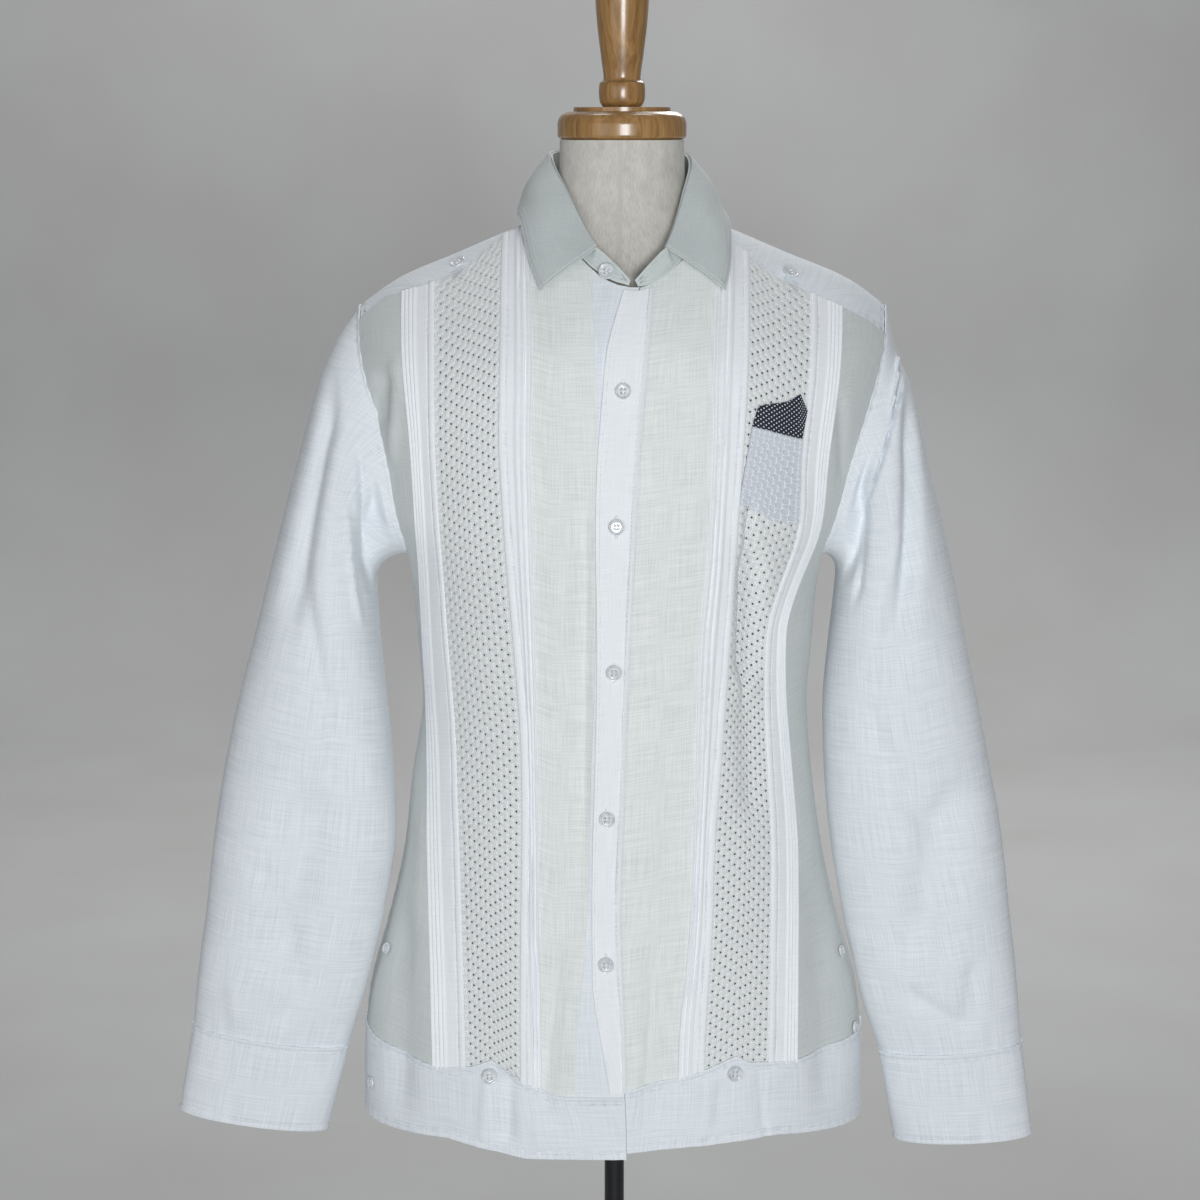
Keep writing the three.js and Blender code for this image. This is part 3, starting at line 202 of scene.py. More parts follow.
SLEEVE = {
    -1: table(
        "outX outZ inX inZ depth forward",
        (-204, 937, -163, 739, 50, 0),
        (-219, 912, -176, 737, 52, 2),
        (-233, 876, -188, 727, 55, 5),
        (-246, 828, -189, 702, 57, 9),
        (-260, 778, -186, 668, 56, 14),
        (-281, 694, -181, 621, 51, 20),
        (-303, 606, -176, 562, 46, 26),
        (-318, 530, -176, 510, 42, 30),
        (-327, 460, -186, 448, 38, 31),
        (-335, 405, -200, 392, 33, 31),
        (-340, 359, -216, 341, 26, 30),
    ),
    1: table(
        "outX outZ inX inZ depth forward",
        (211, 937, 163, 739, 50, 0),
        (221, 900, 171, 737, 52, 2),
        (234, 868, 176, 727, 55, 5),
        (247, 814, 174, 702, 57, 9),
        (259, 764, 170, 668, 56, 14),
        (276, 682, 166, 615, 51, 20),
        (298, 578, 168, 552, 46, 26),
        (308, 524, 175, 498, 42, 30),
        (317, 452, 187, 437, 38, 31),
        (324, 396, 199, 384, 33, 31),
        (329, 344, 215, 337, 26, 30),
    ),
}
SLEEVE_FOLDS = {
    -1: table(
        "angle0 along0 angle1 along1 half depth",
        (52, 0.12, 60, 0.5, 12, -6),
        (118, 0.06, 150, 0.3, 12, -8),
        (96, 0.62, 84, 0.9, 13, -6),
        (250, 0.1, 275, 0.55, 14, -8),
        (300, 0.5, 270, 0.95, 13, -6),
        (88, 0.1, 140, 0.22, 5, -3),
        (104, 0.2, 132, 0.4, 6, 2.5),
        (70, 0.42, 120, 0.62, 7, -2.5),
        (60, 0.72, 100, 0.86, 5, -2),
        (110, 0.86, 95, 0.98, 4, -2),
        (60, 0.9, 66, 0.99, 4, 1.6),
        (240, 0.3, 210, 0.5, 6, -3),
        (280, 0.7, 250, 0.85, 6, -2.5),
    ),
    1: table(
        "angle0 along0 angle1 along1 half depth",
        (30, 0.16, 100, 0.5, 12, -7),
        (100, 0.07, 140, 0.28, 12, -8),
        (60, 0.6, 110, 0.85, 13, -6),
        (245, 0.12, 280, 0.5, 14, -8),
        (262, 0.55, 290, 0.95, 13, -6),
        (20, 0.13, 110, 0.17, 5, -4),
        (16, 0.1, 60, 0.12, 5, 3.5),
        (112, 0.16, 128, 0.36, 5, -3),
        (74, 0.3, 96, 0.5, 7, 2.5),
        (120, 0.5, 80, 0.68, 7, -2.5),
        (120, 0.88, 70, 0.97, 4, -2.4),
        (60, 0.84, 78, 0.97, 4, -2),
        (240, 0.3, 215, 0.5, 6, -3),
        (285, 0.7, 250, 0.88, 6, -2.5),
    ),
}
CUFF = {
    -1: {"outX": -352.5, "outZ": 287, "inX": -234, "inZ": 270, "depth": 22, "forward": 30},
    1: {"outX": 339, "outZ": 266, "inX": 228.5, "inZ": 262, "depth": 22, "forward": 30},
}
COLLAR = table(
    "turn foldX foldY foldZ edgeX edgeY edgeZ",
    (30, 26, -81, 985, 70, -92, 953),
    (44, 35, -63, 1001, 77, -70, 974),
    (62, 45, -40, 1024, 81, -37, 1001),
    (90, 55, -6, 1049, 81, 0, 1007),
    (135, 46, 38, 1056, 68, 50, 1007),
    (180, 0, 60, 1058, 0, 88, 1010),
)
STAND_TAB = table("turn foldX foldY foldZ", (3, 1.5, -88, 960), (12, 12, -86.5, 972), (21, 20, -83, 980))
FORM = table(
    "z half front back",
    (332, 150, 88, 84),
    (345, 160, 95, 90),
    (400, 163, 97, 92),
    (500, 152, 93, 88),
    (560, 146, 90, 86),
    (620, 138, 88, 84),
    (700, 144, 98, 90),
    (780, 154, 106, 97),
    (850, 166, 98, 96),
    (895, 170, 82, 86),
    (925, 160, 66, 74),
    (948, 128, 60, 66),
    (970, 92, 56, 60),
    (990, 66, 53, 56),
    (1010, 54, 49, 51),
    (1035, 49.5, 48, 48),
    (1063.7, 48.2, 48, 48),
)
NECK_CAP = [
    (0, 1064), (47, 1064), (50.2, 1067), (50.2, 1076), (48, 1082), (43, 1085), (37.7, 1085.5),
    (37.7, 1088.6)
]
FINIAL = [(15, 1088.9), (17.3, 1093), (18, 1100), (17.3, 1107), (14.4, 1111), (16.5, 1128), (19.2, 1150)]
FINIAL += [(20.8, 1172), (20.6, 1190), (17.5, 1203), (9, 1211)]
POCKET = table(
    "lowX lowZ topX topZ",
    (92.5, 793, 102, 851),
    (106, 787.5, 115, 847.5),
    (119, 779, 128, 843.5),
    (138, 774.5, 140.5, 840),
)
CONTRAST_PIECE = table(
    "lowX lowZ topX topZ",
    (102, 851.5, 107, 866.5),
    (115, 848, 119, 868),
    (128, 844, 129, 868.8),
    (137, 841.5, 139.5, 874),
    (140.5, 840.5, 144.5, 861.5),
)


# ------------------------------------------------------------------ reading the tables
def smooth(rows, column, at, key="z"):
    """A value between a table's rows, on a smooth curve that holds its first and last values."""
    x, y = rows[key], rows[column]
    slope = np.empty_like(y)
    slope[1:-1] = (y[2:] - y[:-2]) / (x[2:] - x[:-2])
    slope[0] = (y[1] - y[0]) / (x[1] - x[0])
    slope[-1] = (y[-1] - y[-2]) / (x[-1] - x[-2])
    at = np.clip(at, x[0], x[-1])
    i = np.clip(np.searchsorted(x, at, "right") - 1, 0, len(x) - 2)
    span = x[i + 1] - x[i]
    t = (at - x[i]) / span
    t2, t3 = t * t, t * t * t
    start = y[i] * (2 * t3 - 3 * t2 + 1) + slope[i] * span * (t3 - 2 * t2 + t)
    return start + y[i + 1] * (3 * t2 - 2 * t3) + slope[i + 1] * span * (t3 - t2)


def station(rows, column, share):
    """A value at a share of the way along a table whose rows are evenly spaced stations."""
    count = len(rows[column])
    return smooth({"at": np.linspace(0, 1, count), "value": rows[column]}, "value", share, "at")


def mix(a, b, t):
    return a + (b - a) * t


def ease(t):
    t = np.clip(t, 0, 1)
    return t * t * (3 - 2 * t)


def spaced(length, step, fine=1.0, reach=9.0, start=True, end=True):
    """Shares of a length, `step` apart, and `fine` apart within `reach` of the ends that carry a seam."""
    marks = [0.0]
    while marks[-1] < length - fine * 0.5:
        here = marks[-1]
        near = (start and here < reach) or (end and length - here < reach)
        marks.append(here + (fine if near else step))
    marks = np.array(marks)
    return marks / marks[-1]


# ------------------------------------------------------------------ the shirt's surface
def spine(z):
    return smooth(BODY, "spine", z)


def half(z):
    return smooth(BODY, "half", z)


def ridge(x, face):
    return smooth(RIDGE, face, np.abs(x), "x")


def roundness(share):
    return np.maximum(0, 1 - np.abs(share) ** SECTION_POWER) ** (1 / SECTION_POWER)


def near_fold(u, v, u0, v0, u1, v1, reach):
    """Nearness of points to a fold's line, from 0 to 1, fading at the line's ends."""
    du, dv = u1 - u0, v1 - v0
    t = ((u - u0) * du + (v - v0) * dv) / (du * du + dv * dv)
    along = np.clip(t, 0, 1)
    away = np.hypot(u - u0 - along * du, v - v0 - along * dv) / reach
    return np.exp(-away * away) * ease(np.minimum(t, 1 - t) * 4 + 0.15)


def ripple(u, v):
    """The slight unevenness of washed and pressed cloth."""
    wide = np.sin(u / 23 + 1.3 * np.sin(v / 61)) * np.sin(v / 37 + 0.8 * np.sin(u / 29 + 2))
    small = np.sin(u / 9.5 + v / 31) * np.sin(v / 14.5 - u / 47 + 1)
    return 0.45 * wide + 0.16 * small


def folds(rows, u, v):
    depth = 0
    for u0, v0, u1, v1, reach, deep in zip(*rows.values()):
        depth = depth + FOLD_DEPTH * deep * near_fold(u, v, u0, v0, u1, v1, reach)
    return depth


def body_point(face, x, z, creased=True):
    """Points of the shirt's body: x from the origin, z up, on its front or back face."""
    from_spine = x - spine(z)
    share = np.clip(from_spine / half(z), -1, 1)
    drop = ridge(from_spine, face) - z
    t = np.clip(drop / SHOULDER_ROUND, 0, 1)
    forward = -1 if face == "front" else 1
    y = forward * smooth(BODY, face, z) * roundness(share) * np.sqrt(1 - (1 - t) ** 2)
    if creased:
        fade = ease((1 - np.abs(share)) * 9)
        depth = (folds(FOLDS[face], x, z) + ripple(x, z)) * fade
        size = np.hypot(share * 0.8, 1)
        x = x + depth * share * 0.8 / size
        y = y + depth * forward / size
    return np.stack(np.broadcast_arrays(x, y, z), -1)


def x_at_angle(angle, z):
    reach = np.abs(np.sin(np.radians(angle))) ** (2 / SECTION_POWER)
    return spine(z) + np.sign(angle) * half(z) * reach


def angle_at_x(x, z):
    share = np.clip(np.abs(x - spine(z)) / half(z), 0, 1)
    return np.sign(x - spine(z)) * np.degrees(np.arcsin(share ** (SECTION_POWER / 2)))


def outer_angle(z):
    vent = VENT_GAPE * np.clip((VENT_TOP_Z - z) / (VENT_TOP_Z - BACK_HEM_Z), 0, 1)
    return smooth(ARMHOLE, "angle", np.maximum(z, UNDERARM_Z)) - vent


# ------------------------------------------------------------------ making cloth
def arc(points, axis):
    """Length of cloth from the first point, in mm, along rows (axis 1) or columns (axis 0)."""
    steps = np.linalg.norm(np.diff(points, axis=axis), axis=-1)
    start = np.zeros_like(steps.take([0], axis=axis))
    return np.concatenate([start, np.cumsum(steps, axis=axis)], axis=axis)


def grid_normals(points, ring, flip):
    if ring:
        across = np.roll(points, -1, 1) - np.roll(points, 1, 1)
    else:
        across = np.gradient(points, axis=1)
    normals = np.cross(across, np.gradient(points, axis=0))
    normals /= np.maximum(np.linalg.norm(normals, axis=-1, keepdims=True), 1e-9)
    return -normals if flip else normals


def new_object(name, vertices, faces, material, uv=None, sharp=50):
    mesh = bpy.data.meshes.new(name)
    mesh.from_pydata((np.asarray(vertices) * MM).tolist(), [], [list(face) for face in faces])
    if uv is not None:
        corners = np.empty(len(mesh.loops), np.int32)
        mesh.loops.foreach_get("vertex_index", corners)
        layer = mesh.uv_layers.new(name="cloth")
        layer.data.foreach_set("uv", (np.asarray(uv)[corners] * MM).astype(np.float32).ravel())
    mesh.shade_smooth()
    mesh.set_sharp_from_angle(angle=math.radians(sharp))
    mesh.materials.append(material)
    piece = bpy.data.objects.new(name, mesh)
    bpy.context.scene.collection.objects.link(piece)
    return piece


def shell(
    name, points, material, lift=0.0, relief=0.0, keep=None, ring=False, flip=False, thick=None, uv=None
):
    """A thin closed sheet on a grid of surface points [row, column, xyz], its outer face raised by the relief."""
    thick = thick or sizes().cloth_thickness
    nv, nu = points.shape[:2]
    normals = grid_normals(points, ring, flip)
    relief = np.broadcast_to(relief, (nv, nu))[..., None]
    outer = points + normals * (lift + thick + relief)
    inner = points + normals * (lift + 0.6 * relief)
    ids = np.arange(nv * nu).reshape(nv, nu)
    if ring:
        ids = np.concatenate([ids, ids[:, :1]], 1)
    quads = np.stack([ids[:-1, :-1], ids[:-1, 1:], ids[1:, 1:], ids[1:, :-1]], -1)
    quads = quads[keep] if keep is not None else quads.reshape(-1, 4)
    if flip:
        quads = quads[:, ::-1]
    total = nv * nu
    edges = np.concatenate([quads[:, [k, (k + 1) % 4]] for k in range(4)])
    keys = edges.min(1) * total + edges.max(1)
    _, where, counts = np.unique(keys, return_index=True, return_counts=True)
    rim = edges[where[counts == 1]]
    walls = np.stack([rim[:, 1], rim[:, 0], rim[:, 0] + total, rim[:, 1] + total], -1)
    faces = np.concatenate([quads, quads[:, ::-1] + total, walls])
    vertices = np.concatenate([outer.reshape(-1, 3), inner.reshape(-1, 3)])
    if uv is None:
        across = arc(points, 1)
        up = arc(points, 0)
        if ring:
            across = np.broadcast_to(across.mean(0), across.shape)
            up = up - up[-1:]
        else:
            across = across - across[:, nu // 2, None]
        uv = np.stack([across, up], -1)
    uv = np.concatenate([uv.reshape(-1, 2)] * 2)
    used, compact = np.unique(faces, return_inverse=True)
    piece = new_object(name, vertices[used], compact.reshape(faces.shape).tolist(), material, uv[used])
    # Painted shade: the attribute written here marks where the relief dips more than 0.25 mm, and the cloth
    # materials darken their colour there as the shadow in tuck and seam grooves.
    dip = np.clip((-relief.reshape(-1) - 0.25) / 0.7, 0, 1).astype(np.float32)
    piece.data.attributes.new("groove_shade", "FLOAT", "POINT").data.foreach_set("value", np.tile(dip, 2)[used])
    return piece


def cloth_size(points):
    """Width, length and area of the flat cut that makes a grid of points, in metres."""
    width = arc(points, 1)[:, -1].max() * MM
    length = arc(points, 0)[-1].max() * MM
    a, b = points[1:, 1:] - points[:-1, :-1], points[1:, :-1] - points[:-1, 1:]
    area = 0.5 * np.linalg.norm(np.cross(a, b), axis=-1).sum() * MM * MM
    return width, length, area


def lay_cloth(piece, node, points, trims=(), share=1.0):
    """Hides the part that a cloth piece stands for, attaches the piece and its trims, and works out the flat size
    that it was cut to.
    """
    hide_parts(node)
    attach(piece, "root")
    for trim in trims:
        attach(trim, "root")
    width, length, area = cloth_size(points)
    area = max(min(area * share, width * length), 0.31 * width * length)


def seam_roll(d, height=0.8, width=2.2):
    """The raised roll of a seam's turned edge at a distance from it, and the dip of the stitching beside it."""
    roll = height * np.exp(-(((d - 1.2) / width) ** 2))
    beside = 0.5 * np.exp(-(((d - width - 1.6) / 0.8) ** 2))
    return roll - beside - 0.35 * np.exp(-(((d - sizes().topstitch_inset) / 0.8) ** 2))


def pucker(along, d, depth=0.32, pitch=8.5):
    """Small gathers that stitching draws into the cloth beside a seam."""
    wave = np.sin(2 * np.pi * along / pitch + 2.2 * np.sin(along / 27))
    return depth * wave * np.exp(-np.maximum(d - 1, 0) / 7)


def path_tube(path, radius, sides=6, closed=False):
    """Vertices and faces of a thin tube along points."""
    path = np.asarray(path, float)
    ahead = np.roll(path, -1, 0) - np.roll(path, 1, 0) if closed else np.gradient(path, axis=0)
    ahead /= np.maximum(np.linalg.norm(ahead, axis=1, keepdims=True), 1e-9)
    guide = np.where(np.abs(ahead[:, 2:]) > 0.9, [[1.0, 0, 0]], [[0, 0, 1.0]])
    side = np.cross(ahead, guide)
    side /= np.linalg.norm(side, axis=1, keepdims=True)
    up = np.cross(side, ahead)
    turns = np.linspace(0, 2 * np.pi, sides, endpoint=False)
    rings = path[:, None] + radius * (
        side[:, None] * np.cos(turns)[None, :, None] + up[:, None] * np.sin(turns)[None, :, None]
    )
    count = len(path)
    faces = []
    for j in range(count if closed else count - 1):
        for i in range(sides):
            a, b = j * sides + i, j * sides + (i + 1) % sides
            k = (j + 1) % count * sides
            faces.append([a, b, k + (i + 1) % sides, k + i])
    if not closed:
        faces.append(list(range(sides))[::-1])
        faces.append([(count - 1) * sides + i for i in range(sides)])
    return rings.reshape(-1, 3), faces


def join_parts(parts):
    vertices, faces, start = [], [], 0
    for points, polygons in parts:
        vertices.append(points)
        faces += [[start + i for i in polygon] for polygon in polygons]
        start += len(points)
    return np.concatenate(vertices), faces


def stitches(name, lines, material):
    """Rows of short stitches that lie along lines of points, each line already on the cloth's face."""
    length, gap = sizes().stitch_length, sizes().stitch_gap
    parts = []
    for line in lines:
        line = np.asarray(line, float)
        run = np.concatenate([[0], np.cumsum(np.linalg.norm(np.diff(line, axis=0), axis=1))])
        at = lambda s: np.stack([np.interp(s, run, line[:, k]) for k in range(3)], -1)
        for start in np.arange(gap, run[-1] - length, length + gap):
            parts.append(
                path_tube(at(start + length * np.array([0.0, 0.15, 0.85, 1.0])), sizes().thread_radius, 4)
            )
    vertices, faces = join_parts(parts)
    return new_object(name, vertices, faces, material)


def line_on(points, normals, row=None, column=None, height=1.0):
    """One row or column of a grid, raised off it, as a line of points."""
    chosen = (slice(None), column) if row is None else (row, slice(None))
    return points[chosen] + normals[chosen] * height


# ------------------------------------------------------------------ materials
def linear(hex_colour):
    """Linear colour from an sRGB hex value."""
    parts = [int(hex_colour[i : i + 2], 16) / 255 for i in (1, 3, 5)]
    return [p / 12.92 if p <= 0.04045 else ((p + 0.055) / 1.055) ** 2.4 for p in parts]


def add_node(tree, kind, inputs=None, **settings):
    """Adds a node with its settings, and fills or links its sockets."""
    node = tree.nodes.new(kind)
    for name, value in settings.items():
        setattr(node, name, value)
    for socket, value in (inputs or {}).items():
        if isinstance(value, bpy.types.NodeSocket):
            tree.links.new(value, node.inputs[socket])
        else:
            node.inputs[socket].default_value = value
    return node


def start_material(name):
    """An empty material with its tree."""
    material = bpy.data.materials.get(name)
    if material:
        return material, None
    material = bpy.data.materials.new(name)
    material.use_nodes = True
    material.node_tree.nodes.clear()
    return material, material.node_tree


def finish_material(tree, colour, height, bump_mm, shader):
    """Ends a tree in the principled shader, with a bump of a real depth."""
    bump = add_node(tree, "ShaderNodeBump", {"Height": height, "Distance": bump_mm * MM, "Strength": 1.0})
    inputs = {"Base Color": colour, "Normal": bump.outputs[0], **shader}
    principled = add_node(tree, "ShaderNodeBsdfPrincipled", inputs)
    add_node(tree, "ShaderNodeOutputMaterial", {"Surface": principled.outputs[0]})


def streaks(tree, uv, across_mm, along_mm, seed):
    """Threads that thicken and thin: a noise drawn out along one direction of the cloth."""
    scale = (1 / (across_mm * MM), 1 / (along_mm * MM), 1)
    moved = add_node(
        tree, "ShaderNodeMapping", {"Vector": uv, "Scale": scale, "Location": (seed, seed * 1.7, seed)}
    )
    inputs = {"Vector": moved.outputs[0], "Scale": 1.0, "Detail": 2.0, "Roughness": 0.6}
    return add_node(tree, "ShaderNodeTexNoise", inputs).outputs["Fac"]


def ramp(tree, value, *stops):
    """A colour ramp through (position, linear colour) stops."""
    node = add_node(tree, "ShaderNodeValToRGB", {"Fac": value})
    elements = node.color_ramp.elements
    while len(elements) < len(stops):
        elements.new(0.5)
    for element, (position, colour) in zip(elements, stops):
        element.position = position
        element.color = (*colour, 1)
    return node.outputs[0]


def maths(tree, operation, *values):
    node = tree.nodes.new("ShaderNodeMath")
    node.operation = operation
    for i, value in enumerate(values):
        if isinstance(value, bpy.types.NodeSocket):
            tree.links.new(value, node.inputs[i])
        else:
            node.inputs[i].default_value = value
    return node.outputs[0]


def woven_cloth(name, light, dark, slub_mm, thread_mm, bump_mm, rough, sheen, seed):
    """Plain-woven cloth. Threads of uneven thickness cross, so it shows fine upright and level lines; painted shade
    darkens it in the dips of tucks and seams.
    """
    material, tree = start_material(name)
    if tree is None:
        return material
    uv = add_node(tree, "ShaderNodeUVMap", uv_map="cloth").outputs[0]
    warp = streaks(tree, uv, thread_mm, slub_mm, seed)
    weft = streaks(tree, uv, slub_mm, thread_mm, seed + 5)
    cross = maths(tree, "ADD", maths(tree, "MULTIPLY", warp, 0.5), maths(tree, "MULTIPLY", weft, 0.5))
    clouds = add_node(tree, "ShaderNodeTexNoise", {"Vector": uv, "Scale": 14.0, "Detail": 3.0})
    tone = maths(
        tree, "ADD", maths(tree, "MULTIPLY", cross, 0.92),
        maths(tree, "MULTIPLY", clouds.outputs["Fac"], 0.08)
    )
    # Painted shade: the attribute read here pulls the colour down towards the dark crease stop #8d9499, as the
    # shadow in the dips of tucks and seams.
    groove_shade = add_node(tree, "ShaderNodeAttribute", attribute_name="groove_shade").outputs["Fac"]
    tone = maths(tree, "SUBTRACT", tone, maths(tree, "MULTIPLY", groove_shade, 0.5))
    colour = ramp(tree, tone, (0.0, linear("#8d9499")), (0.36, dark), (0.6, light))
    shader = {"Roughness": rough, "Sheen Weight": sheen, "Sheen Roughness": 0.5, "IOR": 1.5}
    finish_material(tree, colour, cross, bump_mm, shader)
    return material


def slub_linen():
    """Bleached linen, plain woven from slubby yarn and washed: a matt, cool white with irregular cross lines.
    The yarns are about 0.4 mm; they are drawn 1.1 mm wide so that they show."""
    c = colours()
    return woven_cloth(
        "bleached slub linen", c.white_linen, c.white_linen_shade, 45, 1.1, 0.1, 0.85, 0.12, 1
    )


def ivory_linen():
    """Half-bleached linen voile, woven open from slubby yarn: warmer, with stronger cross lines that light enters.
    The yarns are about 0.4 mm; they are drawn 1.0 mm wide so that they show."""
    c = colours()
    return woven_cloth(
        "ivory slub linen", c.ivory_linen, c.ivory_linen_shade, 38, 1.0, 0.14, 0.85, 0.1, 11
    )


def cotton_lawn():
    """Cotton lawn, fine woven and pressed into tucks: the whitest cloth, nearly smooth."""
    c = colours()
    return woven_cloth(
        "pressed cotton lawn", c.tucked_cotton, c.tucked_cotton_shade, 30, 0.8, 0.05, 0.75, 0.12, 21
    )


def cotton_poplin():
    """Cotton poplin, close woven and pressed with a stiffener: smooth, and set greyer than the other whites as
    painted shade for the dimmer light on the collar.
    """
    c = colours()
    return woven_cloth(
        "pressed cotton poplin", c.collar_cotton, c.collar_cotton_shade, 20, 0.8, 0.08, 0.75, 0.1, 31
    )


def side_poplin():
    """Cotton and linen union cloth of the side panels: smooth, with faint upright yarns; its colour is darker than
    the fronts, partly the semi-sheer cloth's own tone and partly painted shade for panels turned away from the
    light.
    """
    c = colours()
    return woven_cloth(
        "cotton linen union", c.side_cotton, c.side_cotton_shade, 40, 0.9, 0.1, 0.85, 0.1, 41
    )


def thread():
    """Polished cotton sewing thread, twisted from plies: brighter than the cloth that it lies on."""
    material, tree = start_material("polished cotton thread")
    if tree is None:
        return material
    place = add_node(tree, "ShaderNodeTexCoord").outputs["Object"]
    plies = add_node(tree, "ShaderNodeTexNoise", {"Vector": place, "Scale": 900.0, "Detail": 1.0}).outputs["Fac"]
    colour = ramp(tree, plies, (0.3, colours().thread_shade), (0.6, colours().thread))
    finish_material(tree, colour, plies, 0.1, {"Roughness": 0.55, "Sheen Weight": 0.1})
    return material


def eyelet_lace(name="cotton eyelet lace", light=None, shade=None):
    """Cotton lace, knitted as rings of thread round open eyelets: white rings, greyer puffs and dark holes.
    The UV runs one unit for each repeat of the eyelets."""
    material, tree = start_material(name)
    if tree is None:
        return material
    light, shade = light or colours().lace, shade or colours().lace_shade
    uv = add_node(tree, "ShaderNodeUVMap", uv_map="cloth").outputs[0]
    parts = add_node(tree, "ShaderNodeSeparateXYZ", {"Vector": uv}).outputs
    turn = [maths(tree, "COSINE", maths(tree, "MULTIPLY", parts[k], 2 * math.pi / MM)) for k in (0, 1)]
    field = maths(tree, "MULTIPLY", *turn)
    away = maths(tree, "ABSOLUTE", maths(tree, "ADD", field, 0.16))
    ring = maths(tree, "SUBTRACT", 1.0, maths(tree, "MINIMUM", maths(tree, "MULTIPLY", away, 4.2), 1.0))
    scale = (26.0 / MM, 26.0 / MM, 1)
    close = add_node(tree, "ShaderNodeMapping", {"Vector": uv, "Scale": scale}).outputs[0]
    knit = add_node(tree, "ShaderNodeTexNoise", {"Vector": close, "Scale": 0.5, "Detail": 2.0}).outputs["Fac"]
    tone = maths(tree, "ADD", maths(tree, "MULTIPLY", ring, 0.55), maths(tree, "MULTIPLY", knit, 0.45))
    colour = ramp(tree, tone, (0.15, shade), (0.55, light))
    height = maths(tree, "ADD", maths(tree, "MULTIPLY", ring, 0.7), maths(tree, "MULTIPLY", knit, 0.3))
    finish_material(tree, colour, height, 0.35, {"Roughness": 0.85, "Sheen Weight": 0.1})
    return material


def dotted_cotton():
    """Printed cotton, dyed near black with white dots in slanting rows: a repeat of 4.2 mm by 3.4 mm."""
    material, tree = start_material("dotted printed cotton")
    if tree is None:
        return material
    uv = add_node(tree, "ShaderNodeUVMap", uv_map="cloth").outputs[0]
    parts = add_node(tree, "ShaderNodeSeparateXYZ", {"Vector": uv}).outputs
    pitch = (4.2 * MM, 3.4 * MM)
    turn = [maths(tree, "COSINE", maths(tree, "MULTIPLY", parts[k], 2 * math.pi / pitch[k])) for k in (0, 1)]
    dots = maths(tree, "MULTIPLY", *turn)
    weave = streaks(tree, uv, 0.7, 2.5, 3)
    dyed = ramp(tree, weave, (0.35, colours().dotted_ground), (0.65, linear("#2c3044")))
    mask = ramp(tree, dots, (0.6, (0, 0, 0)), (0.74, (1, 1, 1)))
    # A Mix node's colour sockets: 0 is the factor, 6 and 7 the two colours, and output 2 the result.
    mixed = tree.nodes.new("ShaderNodeMix")
    mixed.data_type = "RGBA"
    tree.links.new(mask, mixed.inputs[0])
    tree.links.new(dyed, mixed.inputs[6])
    mixed.inputs[7].default_value = (*colours().dotted_dot, 1)
    finish_material(tree, mixed.outputs[2], weave, 0.15, {"Roughness": 0.8})
    return material


def cast_resin():
    """Polyester resin, cast in sheets and turned into buttons: clear grey-white, pearly and glossy."""
    material, tree = start_material("cast polyester resin")
    if tree is None:
        return material
    place = add_node(tree, "ShaderNodeTexCoord").outputs["Object"]
    pearl = add_node(
        tree, "ShaderNodeTexNoise", {"Vector": place, "Scale": 260.0, "Detail": 2.0, "Distortion": 1.2}
    )
    colour = ramp(tree, pearl.outputs["Fac"], (0.35, colours().button_shade), (0.65, colours().button))
    shader = {
        "Roughness": 0.18, "IOR": 1.55, "Transmission Weight": 0.1, "Coat Weight": 0.6,
        "Coat Roughness": 0.08
    }
    finish_material(tree, colour, pearl.outputs["Fac"], 0.03, shader)
    return material


def cotton_jersey():
    """Cotton jersey, knitted and stretched over padding: warm grey with upright ribs 1.2 mm apart."""
    material, tree = start_material("stretched cotton jersey")
    if tree is None:
        return material
    uv = add_node(tree, "ShaderNodeUVMap", uv_map="cloth").outputs[0]
    ribs = streaks(tree, uv, 1.2, 6.0, 7)
    fuzz = add_node(tree, "ShaderNodeTexNoise", {"Vector": uv, "Scale": 60.0, "Detail": 4.0}).outputs["Fac"]
    tone = maths(tree, "ADD", maths(tree, "MULTIPLY", ribs, 0.6), maths(tree, "MULTIPLY", fuzz, 0.4))
    colour = ramp(tree, tone, (0.36, colours().form_jersey_shade), (0.6, colours().form_jersey))
    finish_material(tree, colour, ribs, 0.2, {"Roughness": 0.95, "Sheen Weight": 0.15})
    return material


def varnished_beech():
    """Beech, turned on a lathe, stained and varnished: golden brown with long grain about 2 mm wide."""
    material, tree = start_material("turned varnished beech")
    if tree is None:
        return material
    place = add_node(tree, "ShaderNodeTexCoord").outputs["Object"]
    scale = (1 / (7 * MM), 1 / (3.2 * MM), 1 / (60 * MM))
    drawn = add_node(tree, "ShaderNodeMapping", {"Vector": place, "Scale": scale}).outputs[0]
    inputs = {"Vector": drawn, "Scale": 1.0, "Detail": 5.0, "Roughness": 0.6, "Distortion": 0.8}
    grain = add_node(tree, "ShaderNodeTexNoise", inputs).outputs["Fac"]
    c = colours()
    colour = ramp(tree, grain, (0.3, c.wood_shade), (0.5, c.wood), (0.72, c.wood_light))
    finish_material(
        tree, colour, grain, 0.05, {"Roughness": 0.32, "Coat Weight": 0.5, "Coat Roughness": 0.15}
    )
    return material


def powder_coated_steel():
    """Steel, powder coated black: a satin skin with a fine orange-peel surface about 1 mm across."""
    material, tree = start_material("powder coated steel")
    if tree is None:
        return material
    place = add_node(tree, "ShaderNodeTexCoord").outputs["Object"]
    peel = add_node(tree, "ShaderNodeTexNoise", {"Vector": place, "Scale": 1 / MM, "Detail": 1.0}).outputs["Fac"]
    colour = ramp(tree, peel, (0.3, linear("#0d0d0f")), (0.7, linear("#1b1b1e")))
    finish_material(tree, colour, peel, 0.04, {"Roughness": 0.42, "IOR": 1.5})
    return material


